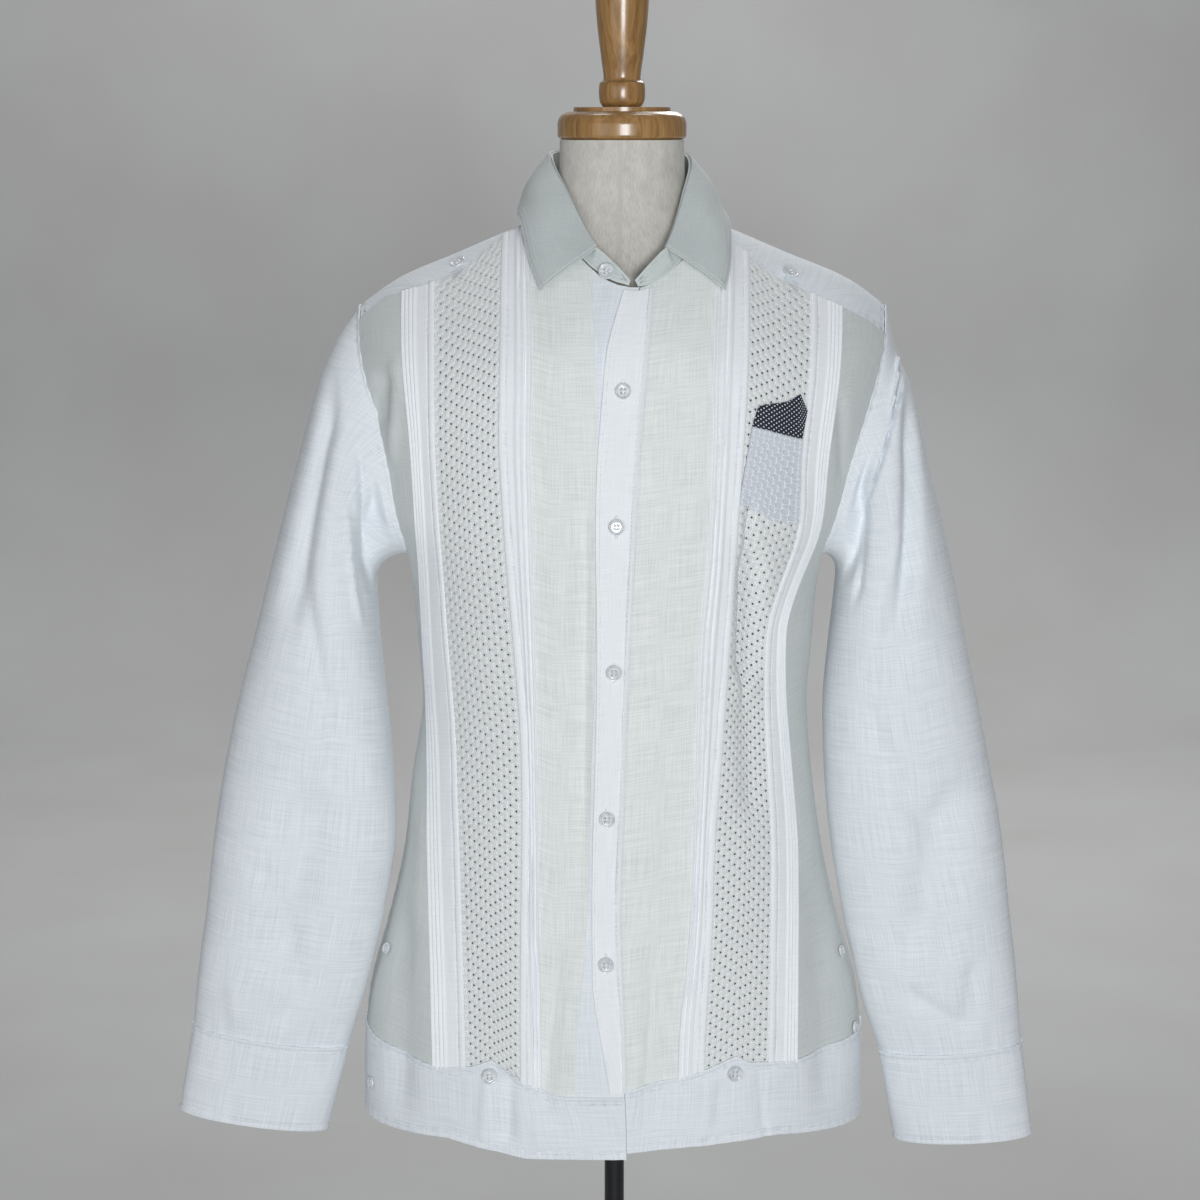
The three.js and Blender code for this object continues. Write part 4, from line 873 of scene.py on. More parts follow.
def studio_paint():
    """Matt emulsion paint, rolled on: pale grey, with faint clouds."""
    material, tree = start_material("rolled matt paint")
    if tree is None:
        return material
    place = add_node(tree, "ShaderNodeTexCoord").outputs["Object"]
    clouds = add_node(tree, "ShaderNodeTexNoise", {"Vector": place, "Scale": 2.5, "Detail": 3.0}).outputs["Fac"]
    colour = ramp(tree, clouds, (0.3, linear("#b2b2b0")), (0.7, linear("#bababa")))
    finish_material(tree, colour, clouds, 0.05, {"Roughness": 0.9})
    return material


# ------------------------------------------------------------------ what a user can change
def length_property(name, description, default):
    return bpy.props.FloatProperty(name=name, description=description, default=default, min=0.01)


def colour_property(name, description, hex_colour):
    return bpy.props.FloatVectorProperty(
        name=name, description=description, default=linear(hex_colour), subtype="COLOR", min=0, max=1
    )


class GUAYABERA_PG_sizes(bpy.types.PropertyGroup):
    """Sizes of the cloth and its sewing, in millimetres."""

    cloth_thickness: length_property("Cloth", "Thickness of one layer of cloth, in mm", 0.9)
    collar_thickness: length_property("Collar", "Thickness of the stiffened collar, in mm", 1.4)
    tuck_height: length_property("Tuck height", "How far a pressed tuck stands up, in mm", 1.35)
    eyelet_width: length_property(
        "Eyelet repeat, across", "Distance between eyelets in a row, in mm", 8.1
    )
    eyelet_height: length_property(
        "Eyelet repeat, up", "Distance between eyelets in a column, in mm", 8.7
    )
    eyelet_radius: length_property("Eyelet radius", "Radius of an open eyelet, in mm", 0.9)
    puff_height: length_property("Lace puff", "How far the rings between eyelets puff out, in mm", 0.65)
    topstitch_inset: length_property("Topstitch", "Distance of the topstitching from an edge, in mm", 6.0)
    stitch_length: length_property("Stitch", "Length of one stitch, in mm", 2.2)
    stitch_gap: length_property("Stitch gap", "Gap between stitches, in mm", 0.8)
    thread_radius: length_property("Thread radius", "Radius of the sewing thread, in mm", 0.3)
    button_radius: length_property("Button radius", "Radius of a front button, in mm", 6.0)
    small_button_radius: length_property("Small button radius", "Radius of a vent button, in mm", 4.6)


class GUAYABERA_PG_colours(bpy.types.PropertyGroup):
    """Colours of the shirt and the form."""

    white_linen: colour_property("White linen", "Yoke, back, sleeves, cuffs and hem band", "#f2f6fa")
    white_linen_shade: colour_property("White linen, between yarns", "Gaps of the white linen", "#dde3e9")
    ivory_linen: colour_property("Ivory linen", "Centre panels", "#f3f5f3")
    ivory_linen_shade: colour_property("Ivory linen, between yarns", "Gaps of the ivory linen", "#dce0de")
    tucked_cotton: colour_property("Tucked cotton", "Pintuck strips and placket", "#fafcff")
    tucked_cotton_shade: colour_property("Tucked cotton, shade", "Gaps of the tucked cotton", "#eef1f5")
    # Painted shade: the collar colours are set darker than the other whites for the dimmer light that the collar
    # gets.
    collar_cotton: colour_property("Collar cotton", "Collar leaf and stand", "#d4dad9")
    collar_cotton_shade: colour_property("Collar cotton, shade", "Gaps of the collar cotton", "#c8cecd")
    # Partly painted shade: the side colours are darker than the fronts, partly the semi-sheer cloth's own tone and
    # partly shade on panels turned away from the light.
    side_cotton: colour_property("Side cotton", "Side panels", "#dde1e0")
    side_cotton_shade: colour_property("Side cotton, shade", "Gaps of the side cotton", "#ced3d2")
    lace: colour_property("Lace thread", "Rings of the lace", "#ffffff")
    lace_shade: colour_property("Lace puffs", "Between the rings of the lace", "#dadede")
    pocket: colour_property("Pocket thread", "Rings of the pocket's doubled lace", "#fbfdff")
    pocket_shade: colour_property("Pocket puffs", "Between the rings of the pocket", "#c6cdd9")
    thread: colour_property("Thread", "Sewing thread", "#ffffff")
    thread_shade: colour_property("Thread, shade", "Between the plies of the thread", "#d9dde2")
    dotted_ground: colour_property("Dotted cotton", "Ground of the contrast piece", "#0e1018")
    dotted_dot: colour_property("Dots", "Dots of the contrast piece", "#e8ecf4")
    button: colour_property("Button", "Pearly part of a button", "#f6f8fa")
    button_shade: colour_property("Button, shade", "Clear part of a button", "#d5dade")
    form_jersey: colour_property("Form", "Jersey of the dress form", "#dcd8d0")
    form_jersey_shade: colour_property("Form, shade", "Between the ribs of the jersey", "#c2beb6")
    wood: colour_property("Wood", "Cap and finial", "#a27a48")
    wood_light: colour_property("Wood, light grain", "Light grain of the wood", "#bd9560")
    wood_shade: colour_property("Wood, dark grain", "Dark grain of the wood", "#7b5930")


def sizes():
    return bpy.context.scene.guayabera_sizes


def colours():
    return bpy.context.scene.guayabera_colours


# ------------------------------------------------------------------ fronts
def meet(seam, x_at, count):
    """Heights where a panel's upright lines meet a seam that is given as height across the shirt."""
    z = np.full(count, seam["z"][0])
    for _ in range(14):
        z = np.interp(x_at(z), seam["x"], seam["z"])
    return z


def neckline_height(x):
    """Height of the neckline where it crosses x on the front."""
    centre = COLLAR_X + COLLAR_LEAN * 75
    depth = NECK_FRONT * np.sqrt(np.maximum(0, 1 - ((x - centre) / NECK_HALF) ** 2))
    z = np.full_like(x, 960)
    for _ in range(14):
        full = smooth(BODY, "front", z) * roundness((x - spine(z)) / half(z))
        turn = np.sqrt(np.maximum(0, 1 - np.clip(depth / full, 0, 1) ** 2))
        z = ridge(x - spine(z), "front") - SHOULDER_ROUND * (1 - turn)
    return z


def front_top(side, x_at, count):
    seam = YOKE_SEAM[side]
    z = meet(seam, x_at, count)
    centre = COLLAR_X + COLLAR_LEAN * 75
    for _ in range(10):
        inside = np.abs(x_at(z) - centre) <= NECK_HALF - 5
        low = np.minimum(neckline_height(x_at(z)), np.interp(x_at(z), seam["x"], seam["z"]))
        z = np.where(inside, low, z)
    return z


def front_grid(left, right, u, v, bottom, top, even=False):
    """Grid of a front piece between two upright edges; `even` spaces its columns evenly along the cloth."""

    def x_at(z, share=u):
        return x_at_angle(mix(angle_at_x(left(z), z), angle_at_x(right(z), z), share), z)

    low, high = bottom(x_at, len(u)), top(x_at, len(u))
    heights = mix(low, high, v[:, None])
    if not even:
        return body_point("front", x_at(heights), heights)
    fine = np.linspace(0, 1, 160)
    rows = []
    for row in heights:
        z = np.interp(fine, u, row)
        line = body_point("front", x_at(z, fine), z)
        run = np.concatenate([[0], np.cumsum(np.linalg.norm(np.diff(line, axis=0), axis=1))])
        share = np.interp(u * run[-1], run, fine)
        z = np.interp(share, u, row)
        rows.append(body_point("front", x_at(z, share), z))
    return np.stack(rows)


def front_edges(side):
    rows = RIGHT_FRONT if side < 0 else LEFT_FRONT
    names = ("strip", "centre", "inner", "lace", "outer")
    edges = {name: (lambda z, name=name: smooth(rows, name, z)) for name in names}
    edges["side"] = lambda z: x_at_angle(side * outer_angle(z), z)
    edges["opening"] = lambda z: smooth(PLACKET_EDGE, "x", z) + (11 if side < 0 else 11.6)
    return edges


def tuck(d, pitch, height):
    """Pressed tucks in a row: each lies over to one side, so it rises slowly and drops at its edge."""
    share = (d / pitch) % 1.0
    raised = height * np.minimum(share / 0.6, 1) * np.clip((1 - share) / 0.12, 0, 1)
    return raised - 0.45 * height * np.exp(-(((share - 0.96) * pitch / 0.5) ** 2))


def tuck_strip_relief(d, width, tucks, flat, mirrored):
    """Height across a tuck strip, from the lace: a raised edging, a flat stretch, then the tucks."""
    height = sizes().tuck_height
    edging = 5.2
    d = width - d if mirrored else d
    start = width - tucks
    relief = np.where(d < edging, 0.9 * np.sin(np.pi * np.clip(d / edging, 0, 1)) ** 0.5, 0.0)
    relief = relief + np.where(d > start, tuck(d - start, tucks / flat, height), 0.0)
    relief = relief + np.where(np.abs(d - edging - 0.6) < 0.6, -0.5, 0.0)
    return np.where(d > width - 1.3, np.maximum(relief, 0), relief)


def lace_relief(nv, nu, start):
    """Puffs and dips of the lace on its grid, where four steps run from an eyelet to a puff."""
    j, i = np.mgrid[0:nv, 0:nu]
    i = i + start
    field = np.cos(np.pi * i / 4) * np.cos(np.pi * j / 4)
    puff = sizes().puff_height
    relief = puff * np.clip(-field, 0, 1) ** 0.6 - 0.35 * puff * np.clip(field, 0, 1)
    return relief, i, j


def build_lace(name, points, material, lift, eyelets=True):
    """Lace with open eyelets: the four faces at each eyelet go, and the ring round it is drawn circular."""
    nv, nu = points.shape[:2]
    start = (8 - (nu // 2) % 8) % 8
    relief, i, j = lace_relief(nv, nu, start)
    points = points.copy()
    keep = np.ones((nv - 1, nu - 1), bool)
    if eyelets:
        rows = np.arange(4, nv - 3, 4)
        for row in rows:
            parity = 4 * ((row // 4) % 2)
            for column in range(2, nu - 2):
                if (column + start) % 8 != parity:
                    continue
                keep[row - 1 : row + 1, column - 1 : column + 1] = False
                middle = points[row, column].copy()
                ring = points[row - 1 : row + 2, column - 1 : column + 2] - middle
                reach = np.maximum(np.linalg.norm(ring, axis=-1, keepdims=True), 1e-9)
                wanted = middle + ring / reach * sizes().eyelet_radius
                points[row - 1 : row + 2, column - 1 : column + 2] = wanted
    uv = np.stack([i / 8, j / 8], -1)
    return shell(name, points, material, lift=lift, relief=relief, keep=keep, uv=uv)


def build_front(side):
    edges = front_edges(side)
    suffix = "right" if side < 0 else "left"
    strips = [
        ("centre_panel", "strip" if side < 0 else "opening", "centre", ivory_linen(), "ivory_linen", 2.4),
        ("inner_tucks", "centre", "inner", cotton_lawn(), "tucked_cotton", 0.42),
        ("lace_panel", "inner", "lace", eyelet_lace(), "lace", None),
        ("outer_tucks", "lace", "outer", cotton_lawn(), "tucked_cotton", 0.42),
        ("side_panel", "outer", "side", side_poplin(), "side_cotton", 2.4),
    ]
    if side < 0:
        strips.insert(0, ("button_stand", "opening", "strip", slub_linen(), "white_linen", 2.4))
    for name, near, far, material, slot, step in strips:
        left, right = (edges[far], edges[near]) if side < 0 else (edges[near], edges[far])
        width = abs(float(edges[far](820) - edges[near](820)))
        length = 640.0
        if step is None:
            columns, rows = round(width / sizes().eyelet_width * 8), round(
                length / sizes().eyelet_height * 8
            )
            u, v = np.linspace(0, 1, columns + 1), np.linspace(0, 1, rows + 1)
        else:
            u = np.linspace(0, 1, max(4, round(width * 1.15 / step)) + 1)
            v = np.linspace(0, 1, round(length / (7 if "tucks" in name else 3)) + 1)
        points = front_grid(
            left,
            right,
            u,
            v,
            lambda x_at, n: meet(BAND_SEAM[side], x_at, n) - 1.5,
            lambda x_at, n: front_top(side, x_at, n) + 1.0,
            even=step is None,
        )
        piece_name = f"{name}_{suffix}_cloth"
        if step is None:
            piece = build_lace(piece_name, points, material, -0.6)
        elif "tucks" in name:
            across = arc(points, 1)
            full = across[:, -1:]
            if name == "inner_tucks":
                relief = tuck_strip_relief(across, full, 0.55 * full, 3, mirrored=side > 0)
            else:
                relief = tuck_strip_relief(across, full, 0.48 * full, 4, mirrored=side < 0)
            piece = shell(piece_name, points, material, lift=0.35, relief=relief)
        else:
            across, up = arc(points, 1), arc(points, 0)
            relief = pucker(up, np.minimum(across, across[:, -1:] - across), depth=0.25, pitch=14)
            piece = shell(piece_name, points, material, relief=relief)
        lay_cloth(piece, f"{name}_{suffix}", points)


# ------------------------------------------------------------------ placket, hem bands, back
def build_placket():
    left = lambda z: smooth(PLACKET_EDGE, "x", z)
    right = lambda z: smooth(LEFT_FRONT, "strip", z)
    u, v = spaced(30, 1.6, 0.8, 6), np.linspace(0, 1, 214)
    points = front_grid(
        left,
        right,
        u,
        v,
        lambda x_at, n: meet(BAND_SEAM[1], x_at, n) + 0.3,
        lambda x_at, n: front_top(1, x_at, n) - 2.0,
    )
    across = arc(points, 1)
    full = across[:, -1:]
    up = arc(points, 0)
    cord = 1.1 * np.exp(-(((full - across - 1.6) / 1.1) ** 2))
    fold_edge = 0.5 * np.exp(-((across / 1.6) ** 2))
    cord = cord - 0.8 * np.exp(-(((full - across - 3.6) / 0.7) ** 2))
    slack = 0.3 * (1 + np.sin(up / 41 + 1)) * np.sin(np.pi * across / full)
    piece = shell(
        "placket_cloth", points, cotton_lawn(), lift=PLACKET_LIFT, relief=cord + fold_edge + slack
    )
    normals = grid_normals(points, False, False)
    lines = []
    for share in (0.1, 0.86):
        column = int(np.argmin(np.abs(u - share)))
        lines.append(line_on(points, normals, column=column, height=PLACKET_LIFT + 1.15))
    sewn = stitches("placket_stitching", lines, thread())
    lay_cloth(piece, "placket", points, [sewn])


def build_hem_band(side):
    suffix = "right" if side < 0 else "left"
    edges = front_edges(side)
    left, right = (edges["side"], edges["opening"]) if side < 0 else (edges["opening"], edges["side"])
    u, v = spaced(230, 2.2, 1.0, 8), spaced(72, 2.4, 0.9, 9)
    points = front_grid(
        left,
        right,
        u,
        v,
        lambda x_at, n: meet(HEM[side], x_at, n),
        lambda x_at, n: meet(BAND_SEAM[side], x_at, n) + 1.0,
    )
    up, across = arc(points, 0), arc(points, 1)
    high = up[-1:]
    ends = np.minimum(across, across[:, -1:] - across)
    relief = seam_roll(high - up) + seam_roll(up, 0.6) + 0.3 * np.exp(-((ends / 2) ** 2))
    relief = relief + pucker(across, high - up) + pucker(across, up, 0.25, 11)
    name = f"hem_band_{suffix}"
    piece = shell(f"{name}_cloth", points, slub_linen(), lift=0.7, relief=relief)
    sewn = topstitch(f"{name}_stitching", points, v, 72, 0.7)
    lay_cloth(piece, name, points, [sewn])


def topstitch(name, points, v, length, lift, ring=False, flip=False):
    """Topstitching along the lower and upper edge of a band, on its outer face."""
    normals = grid_normals(points, ring, flip)
    inset = sizes().topstitch_inset / length
    lines = []
    for share in (inset, 1 - inset):
        row = int(np.argmin(np.abs(v - share)))
        line = line_on(points, normals, row=row, height=lift + sizes().cloth_thickness + 0.05)
        lines.append(np.concatenate([line, line[:1]]) if ring else line)
    return stitches(name, lines, thread())


def back_grid(heights, columns):
    shares = np.linspace(-1, 1, columns)
    z = np.asarray(heights)[:, None]
    return body_point(
        "back", x_at_angle(shares[None] * outer_angle(z), z), np.broadcast_to(z, (len(heights), columns))
    )


def build_back():
    heights = np.concatenate(
        [np.linspace(BACK_BAND_SEAM_Z - 1.5, 735, 96), np.linspace(739, BACK_SEAM_Z + 1.5, 50)]
    )
    points = back_grid(heights, 90)
    across, up = arc(points, 1), arc(points, 0)
    ends = np.minimum(across, across[:, -1:] - across)
    relief = pucker(up, ends, 0.3, 12) + pucker(across, up[-1:] - up, 0.35, 15)
    piece = shell("back_panel_cloth", points, slub_linen(), relief=relief, flip=True)
    lay_cloth(piece, "back_panel", points)
    v = spaced(59, 2.4, 0.9, 9)
    points = back_grid(mix(BACK_HEM_Z, BACK_BAND_SEAM_Z + 1.0, v), 150)
    up, across = arc(points, 0), arc(points, 1)
    relief = seam_roll(up[-1:] - up) + seam_roll(up, 0.6)
    relief = relief + pucker(across, up[-1:] - up) + pucker(across, up, 0.25, 11)
    piece = shell("hem_band_back_cloth", points, slub_linen(), lift=0.7, relief=relief, flip=True)
    sewn = topstitch("hem_band_back_stitching", points, v, 59, 0.7, flip=True)
    lay_cloth(piece, "hem_band_back", points, [sewn])


# ------------------------------------------------------------------ yoke
def shoulder_point(from_spine, wrap):
    """Points on the shoulder: x from the spine, and how far in front (below 0) or behind its line."""
    turn = np.minimum(np.abs(wrap) / SHOULDER_ROUND, np.pi / 2)
    past = np.maximum(0, np.abs(wrap) - SHOULDER_ROUND * np.pi / 2)
    faces = {}
    for face in ("front", "back"):
        z = ridge(from_spine, face) - SHOULDER_ROUND * (1 - np.cos(turn)) - past
        faces[face] = body_point(face, from_spine + spine(z), z)
    return np.where((wrap < 0)[..., None], faces["front"], faces["back"])


def wrap_at_z(from_spine, z, face):
    drop = ridge(from_spine, face) - z
    inside = SHOULDER_ROUND * np.arccos(np.clip(1 - np.maximum(0, drop) / SHOULDER_ROUND, -1, 1))
    return np.where(drop >= SHOULDER_ROUND, SHOULDER_ROUND * np.pi / 2 + drop - SHOULDER_ROUND, inside)


def wrap_at_y(from_spine, y):
    wraps = {}
    for face in ("front", "back"):
        turn = np.zeros_like(y)
        for _ in range(14):
            z = ridge(from_spine, face) - SHOULDER_ROUND * (1 - np.cos(turn))
            full = smooth(BODY, face, z) * roundness(from_spine / half(z))
            turn = np.arcsin(np.clip(np.abs(y) / full, 0, 1))
        wraps[face] = SHOULDER_ROUND * turn
    return np.where(y < 0, -wraps["front"], wraps["back"])


def neckline(turn):
    """Where the neckline crosses an angle seen from above, 0 at the front and 180 at the back."""
    a = np.radians(turn)
    y = -np.cos(a) * np.where(np.cos(a) > 0, NECK_FRONT, NECK_BACK)
    return NECK_HALF * np.sin(a) + COLLAR_X - COLLAR_LEAN * y - spine(1000), y


FRONT_JUNCTION_TURN, REAR_TURN, SIDE_SHARE = 68, 112, 0.22


def armhole_x(side, wrap):
    x = np.full_like(wrap, 205.0) * side
    turn = np.minimum(np.abs(wrap) / SHOULDER_ROUND, np.pi / 2)
    for _ in range(10):
        crest = np.where(wrap < 0, ridge(x, "front"), ridge(x, "back"))
        z = crest - SHOULDER_ROUND * (1 - np.cos(turn))
        x = x_at_angle(side * outer_angle(z), z) - spine(z)
    return x


def yoke_half(side, own):
    """Neckline and outer edge of one half of the yoke at shares 0 (front seam) to 0.5 (centre back)."""
    seam = YOKE_SEAM[side]
    end_z = meet(seam, lambda z: x_at_angle(side * outer_angle(z), z), 1)
    end_wrap = -wrap_at_z(x_at_angle(side * outer_angle(end_z), end_z) - spine(end_z), end_z, "front")
    back_wrap = wrap_at_z(np.array([205.0]), BACK_SEAM_Z, "back")
    corner = armhole_x(side, back_wrap)
    side_wrap = mix(end_wrap, wrap_at_z(corner, BACK_SEAM_Z, "back"), np.clip(own / SIDE_SHARE, 0, 1))
    rear = (own - SIDE_SHARE) / (0.5 - SIDE_SHARE)
    rear_x = corner * (1 - np.clip(rear, 0, 1))
    at_side = own < SIDE_SHARE
    outer_x = np.where(at_side, armhole_x(side, side_wrap), rear_x)
    outer_wrap = np.where(at_side, side_wrap, wrap_at_z(rear_x, BACK_SEAM_Z, "back"))
    turn = np.where(
        at_side,
        mix(FRONT_JUNCTION_TURN, REAR_TURN, own / SIDE_SHARE),
        mix(REAR_TURN, 180, np.clip(rear, 0, 1)),
    )
    inner_x, inner_y = neckline(side * turn)
    return inner_x, wrap_at_y(inner_x, inner_y), outer_x, outer_wrap


def yoke_grid(shares, outs):
    """Rows run out from the neckline, columns from the right front seam round the back to the left one."""
    halves = []
    for side in (-1, 1):
        chosen = shares < 0.5 if side < 0 else shares >= 0.5
        own = shares[chosen] if side < 0 else 1 - shares[chosen]
        inner_x, inner_wrap, outer_x, outer_wrap = yoke_half(side, own)
        first = yoke_half(side, np.zeros(1))
        out = outs[side][:, chosen]
        x = mix(inner_x, outer_x, out)
        wrap = mix(inner_wrap, outer_wrap, out)
        line_x, line_wrap = mix(first[0], first[2], out), mix(first[1], first[3], out)
        z = np.full_like(line_x, 960)
        for _ in range(10):
            z = np.interp(line_x + spine(z), YOKE_SEAM[side]["x"], YOKE_SEAM[side]["z"])
        wrap = wrap + (-wrap_at_z(line_x, z, "front") - line_wrap) * np.clip(1 - own / SIDE_SHARE, 0, 1)
        halves.append(shoulder_point(x, wrap))
    return np.concatenate(halves, 1)


def build_yoke():
    ends = np.linspace(0, SIDE_SHARE, 56)
    back = np.linspace(SIDE_SHARE, 1 - SIDE_SHARE, 100)[1:-1]
    shares = np.concatenate([ends, back, 1 - ends[::-1]])
    out = spaced(150, 3.0, 1.1, 8)
    outs = np.broadcast_to(out[:, None], (len(out), len(shares)))
    points = yoke_grid(shares, {-1: outs, 1: outs})
    around, outward = arc(points, 1), arc(points, 0)
    ends = np.minimum(around, around[:, -1:] - around)
    rim = outward[-1:] - outward
    relief = seam_roll(ends, 1.0) + seam_roll(rim, 0.9)
    relief = relief + pucker(outward, ends, 0.4, 9) + pucker(around, rim, 0.35, 10)
    piece = shell("yoke_cloth", points, slub_linen(), lift=0.6, relief=relief, flip=True)
    normals = grid_normals(points, False, True)
    inset = sizes().topstitch_inset
    lines = []
    for column in (
        int(np.argmin(np.abs(around[30] - inset))),
        int(np.argmin(np.abs(around[30] - around[30, -1] + inset)))
    ):
        lines.append(line_on(points, normals, column=column, height=1.6))
    row = int(np.argmin(np.abs(rim[:, 100] - inset)))
    lines.append(line_on(points, normals, row=row, height=1.6))
    sewn = stitches("yoke_stitching", lines, thread())
    lay_cloth(piece, "yoke", points, trims=[sewn])


# ------------------------------------------------------------------ sleeves and cuffs
def armhole_point(side, degrees):
    """Points of the armhole seam: 0 at the top, 90 at the front, 180 at the underarm."""
    a = np.radians(degrees)
    z = mix(UNDERARM_Z, SHOULDER_Z - 1, (1 + np.cos(a)) / 2)
    x = x_at_angle(side * outer_angle(z), z)
    front, back = body_point("front", x, z), body_point("back", x, z)
    return np.where((np.sin(a) >= 0)[..., None], front, back)


def ellipse_point(row, degrees):
    a = np.radians(degrees)
    cx, cz = (row["outX"] + row["inX"]) / 2, (row["outZ"] + row["inZ"]) / 2
    x = cx + (row["outX"] - cx) * np.cos(a)
    y = -row["forward"] - row["depth"] * np.sin(a)
    return np.stack(np.broadcast_arrays(x, y, cz + (row["outZ"] - cz) * np.cos(a)), -1)


ARM_LENGTH, CAP_SHARE = 640, 0.22


def sleeve_grid(side, along, degrees):
    rows = SLEEVE[side]
    read = {name: station(rows, name, along)[:, None] for name in rows}
    points = ellipse_point(read, degrees[None])
    centre = np.stack(
        np.broadcast_arrays((read["outX"] + read["inX"]) / 2, -read["forward"], (read["outZ"] + read["inZ"]) / 2), -1
    )
    first = ellipse_point({name: rows[name][0] for name in rows}, degrees)
    blend = (1 - ease(along / CAP_SHARE))[:, None, None]
    points = points + (armhole_point(side, degrees) - first)[None] * blend
    girth = 6 * read["depth"]
    depth = 0
    for a0, s0, a1, s1, reach, deep in zip(*SLEEVE_FOLDS[side].values()):
        turned = lambda angle: angle / 360 * girth
        u, v = turned(degrees[None]), along[:, None] * ARM_LENGTH
        depth = depth + SLEEVE_FOLD_DEPTH * deep * near_fold(
            u, v, turned(a0), s0 * ARM_LENGTH, turned(a1), s1 * ARM_LENGTH, reach
        )
    depth = depth + ripple(degrees[None] / 360 * girth + 40 * side, along[:, None] * ARM_LENGTH)
    fade = (ease(along / 0.08) * ease((1 - along) / 0.06))[:, None]
    outward = points - centre
    outward /= np.linalg.norm(outward, axis=-1, keepdims=True)
    return points + outward * (depth * fade)[..., None]


def build_sleeves():
    for side, suffix in ((-1, "right"), (1, "left")):
        flip = side < 0
        degrees = np.linspace(0, 360, 92, endpoint=False)
        along = spaced(ARM_LENGTH, 5.2, 1.3, 9)
        points = sleeve_grid(side, along, degrees)
        up = arc(points, 0)
        around = arc(np.concatenate([points, points[:, :1]], 1), 1)[:, :-1]
        relief = seam_roll(up, 0.7) + pucker(around, up, 0.25, 13) + pucker(
            around, up[-1:] - up, 0.25, 16
        )
        piece = shell(
            f"sleeve_{suffix}_cloth", points, slub_linen(), lift=-0.7, relief=relief, ring=True, flip=flip
        )
        loop = np.concatenate([points, points[:, :1]], 1)
        lay_cloth(piece, f"sleeve_{suffix}", loop)
        v = spaced(74, 2.6, 0.9, 9)
        wrist = {name: SLEEVE[side][name][-1] for name in SLEEVE[side]}
        row = {name: mix(wrist[name], CUFF[side][name], v)[:, None] for name in wrist}
        points = ellipse_point(row, np.linspace(0, 360, 120, endpoint=False)[None])
        up = arc(points, 0)
        around = arc(np.concatenate([points, points[:, :1]], 1), 1)[:, :-1]
        relief = seam_roll(up, 0.8) + seam_roll(up[-1:] - up, 0.6)
        relief = relief + pucker(around, up, 0.3, 9) + 0.4 * ripple(around, up)
        name = f"cuff_{suffix}"
        piece = shell(
            f"{name}_cloth", points, slub_linen(), lift=-0.3, relief=relief, ring=True, flip=flip,
            thick=1.2
        )
        sewn = topstitch(f"{name}_stitching", points, v, 74, 0.1, ring=True, flip=flip)
        loop = np.concatenate([points, points[:, :1]], 1)
        lay_cloth(piece, name, loop, [sewn])


# ------------------------------------------------------------------ collar
def collar_point(x, y, z, side):
    return np.stack([side * x + COLLAR_X - COLLAR_LEAN * y, y, z], -1)


def collar_lines(share, side):
    fold = collar_point(*[station(COLLAR, f"fold{k}", share) for k in "XYZ"], side)
    edge = collar_point(*[station(COLLAR, f"edge{k}", share) for k in "XYZ"], side)
    return fold, edge


def stand_base(side, turn):
    x, y = neckline(side * turn)
    base = shoulder_point(x, wrap_at_y(x, y))
    return base + np.array([0, 0, 2.6])


def build_collar():
    share = spaced(210, 2.6, 0.9, 8, end=False)
    side = np.concatenate([-np.ones(len(share)), np.ones(len(share) - 1)])
    share = np.concatenate([share, share[::-1][1:]])
    fold, edge = collar_lines(share, side)
    t = spaced(50, 2.0, 0.8, 8)[:, None, None]
    points = mix(edge[None], fold[None], t)
    out = points - np.array([COLLAR_X, 0, 0])
    out[..., 2] = 0
    out /= np.linalg.norm(out, axis=-1, keepdims=True)
    bow = 5 * np.sin(np.pi * t) + 1.2 * np.sin(2 * np.pi * t) * np.sin(share * 9)[None, :, None]
    points = points + out * bow
    across, up = arc(points, 1), arc(points, 0)
    ends = np.minimum(across, across[:, -1:] - across)
    relief = seam_roll(up, 0.5, 1.6) + seam_roll(ends, 0.5, 1.6) + 0.5 * ripple(across, up)
    thick = sizes().collar_thickness
    leaf = shell("collar_leaf_cloth", points, cotton_poplin(), relief=relief, thick=thick)
    normals = grid_normals(points, False, False)
    row = int(np.argmin(np.abs(up[:, 60] - sizes().topstitch_inset)))
    first = int(np.argmin(np.abs(across[row] - sizes().topstitch_inset)))
    last = len(share) - 1 - first
    lines = [
        (points + normals * (thick + 0.05))[row, first : last + 1],
        (points + normals * (thick + 0.05))[row:, first],
        (points + normals * (thick + 0.05))[row:, last],
    ]
    sewn = stitches("collar_leaf_stitching", lines, thread())
    lay_cloth(leaf, "collar_leaf", points, [sewn])
    build_stand_collar(thick)


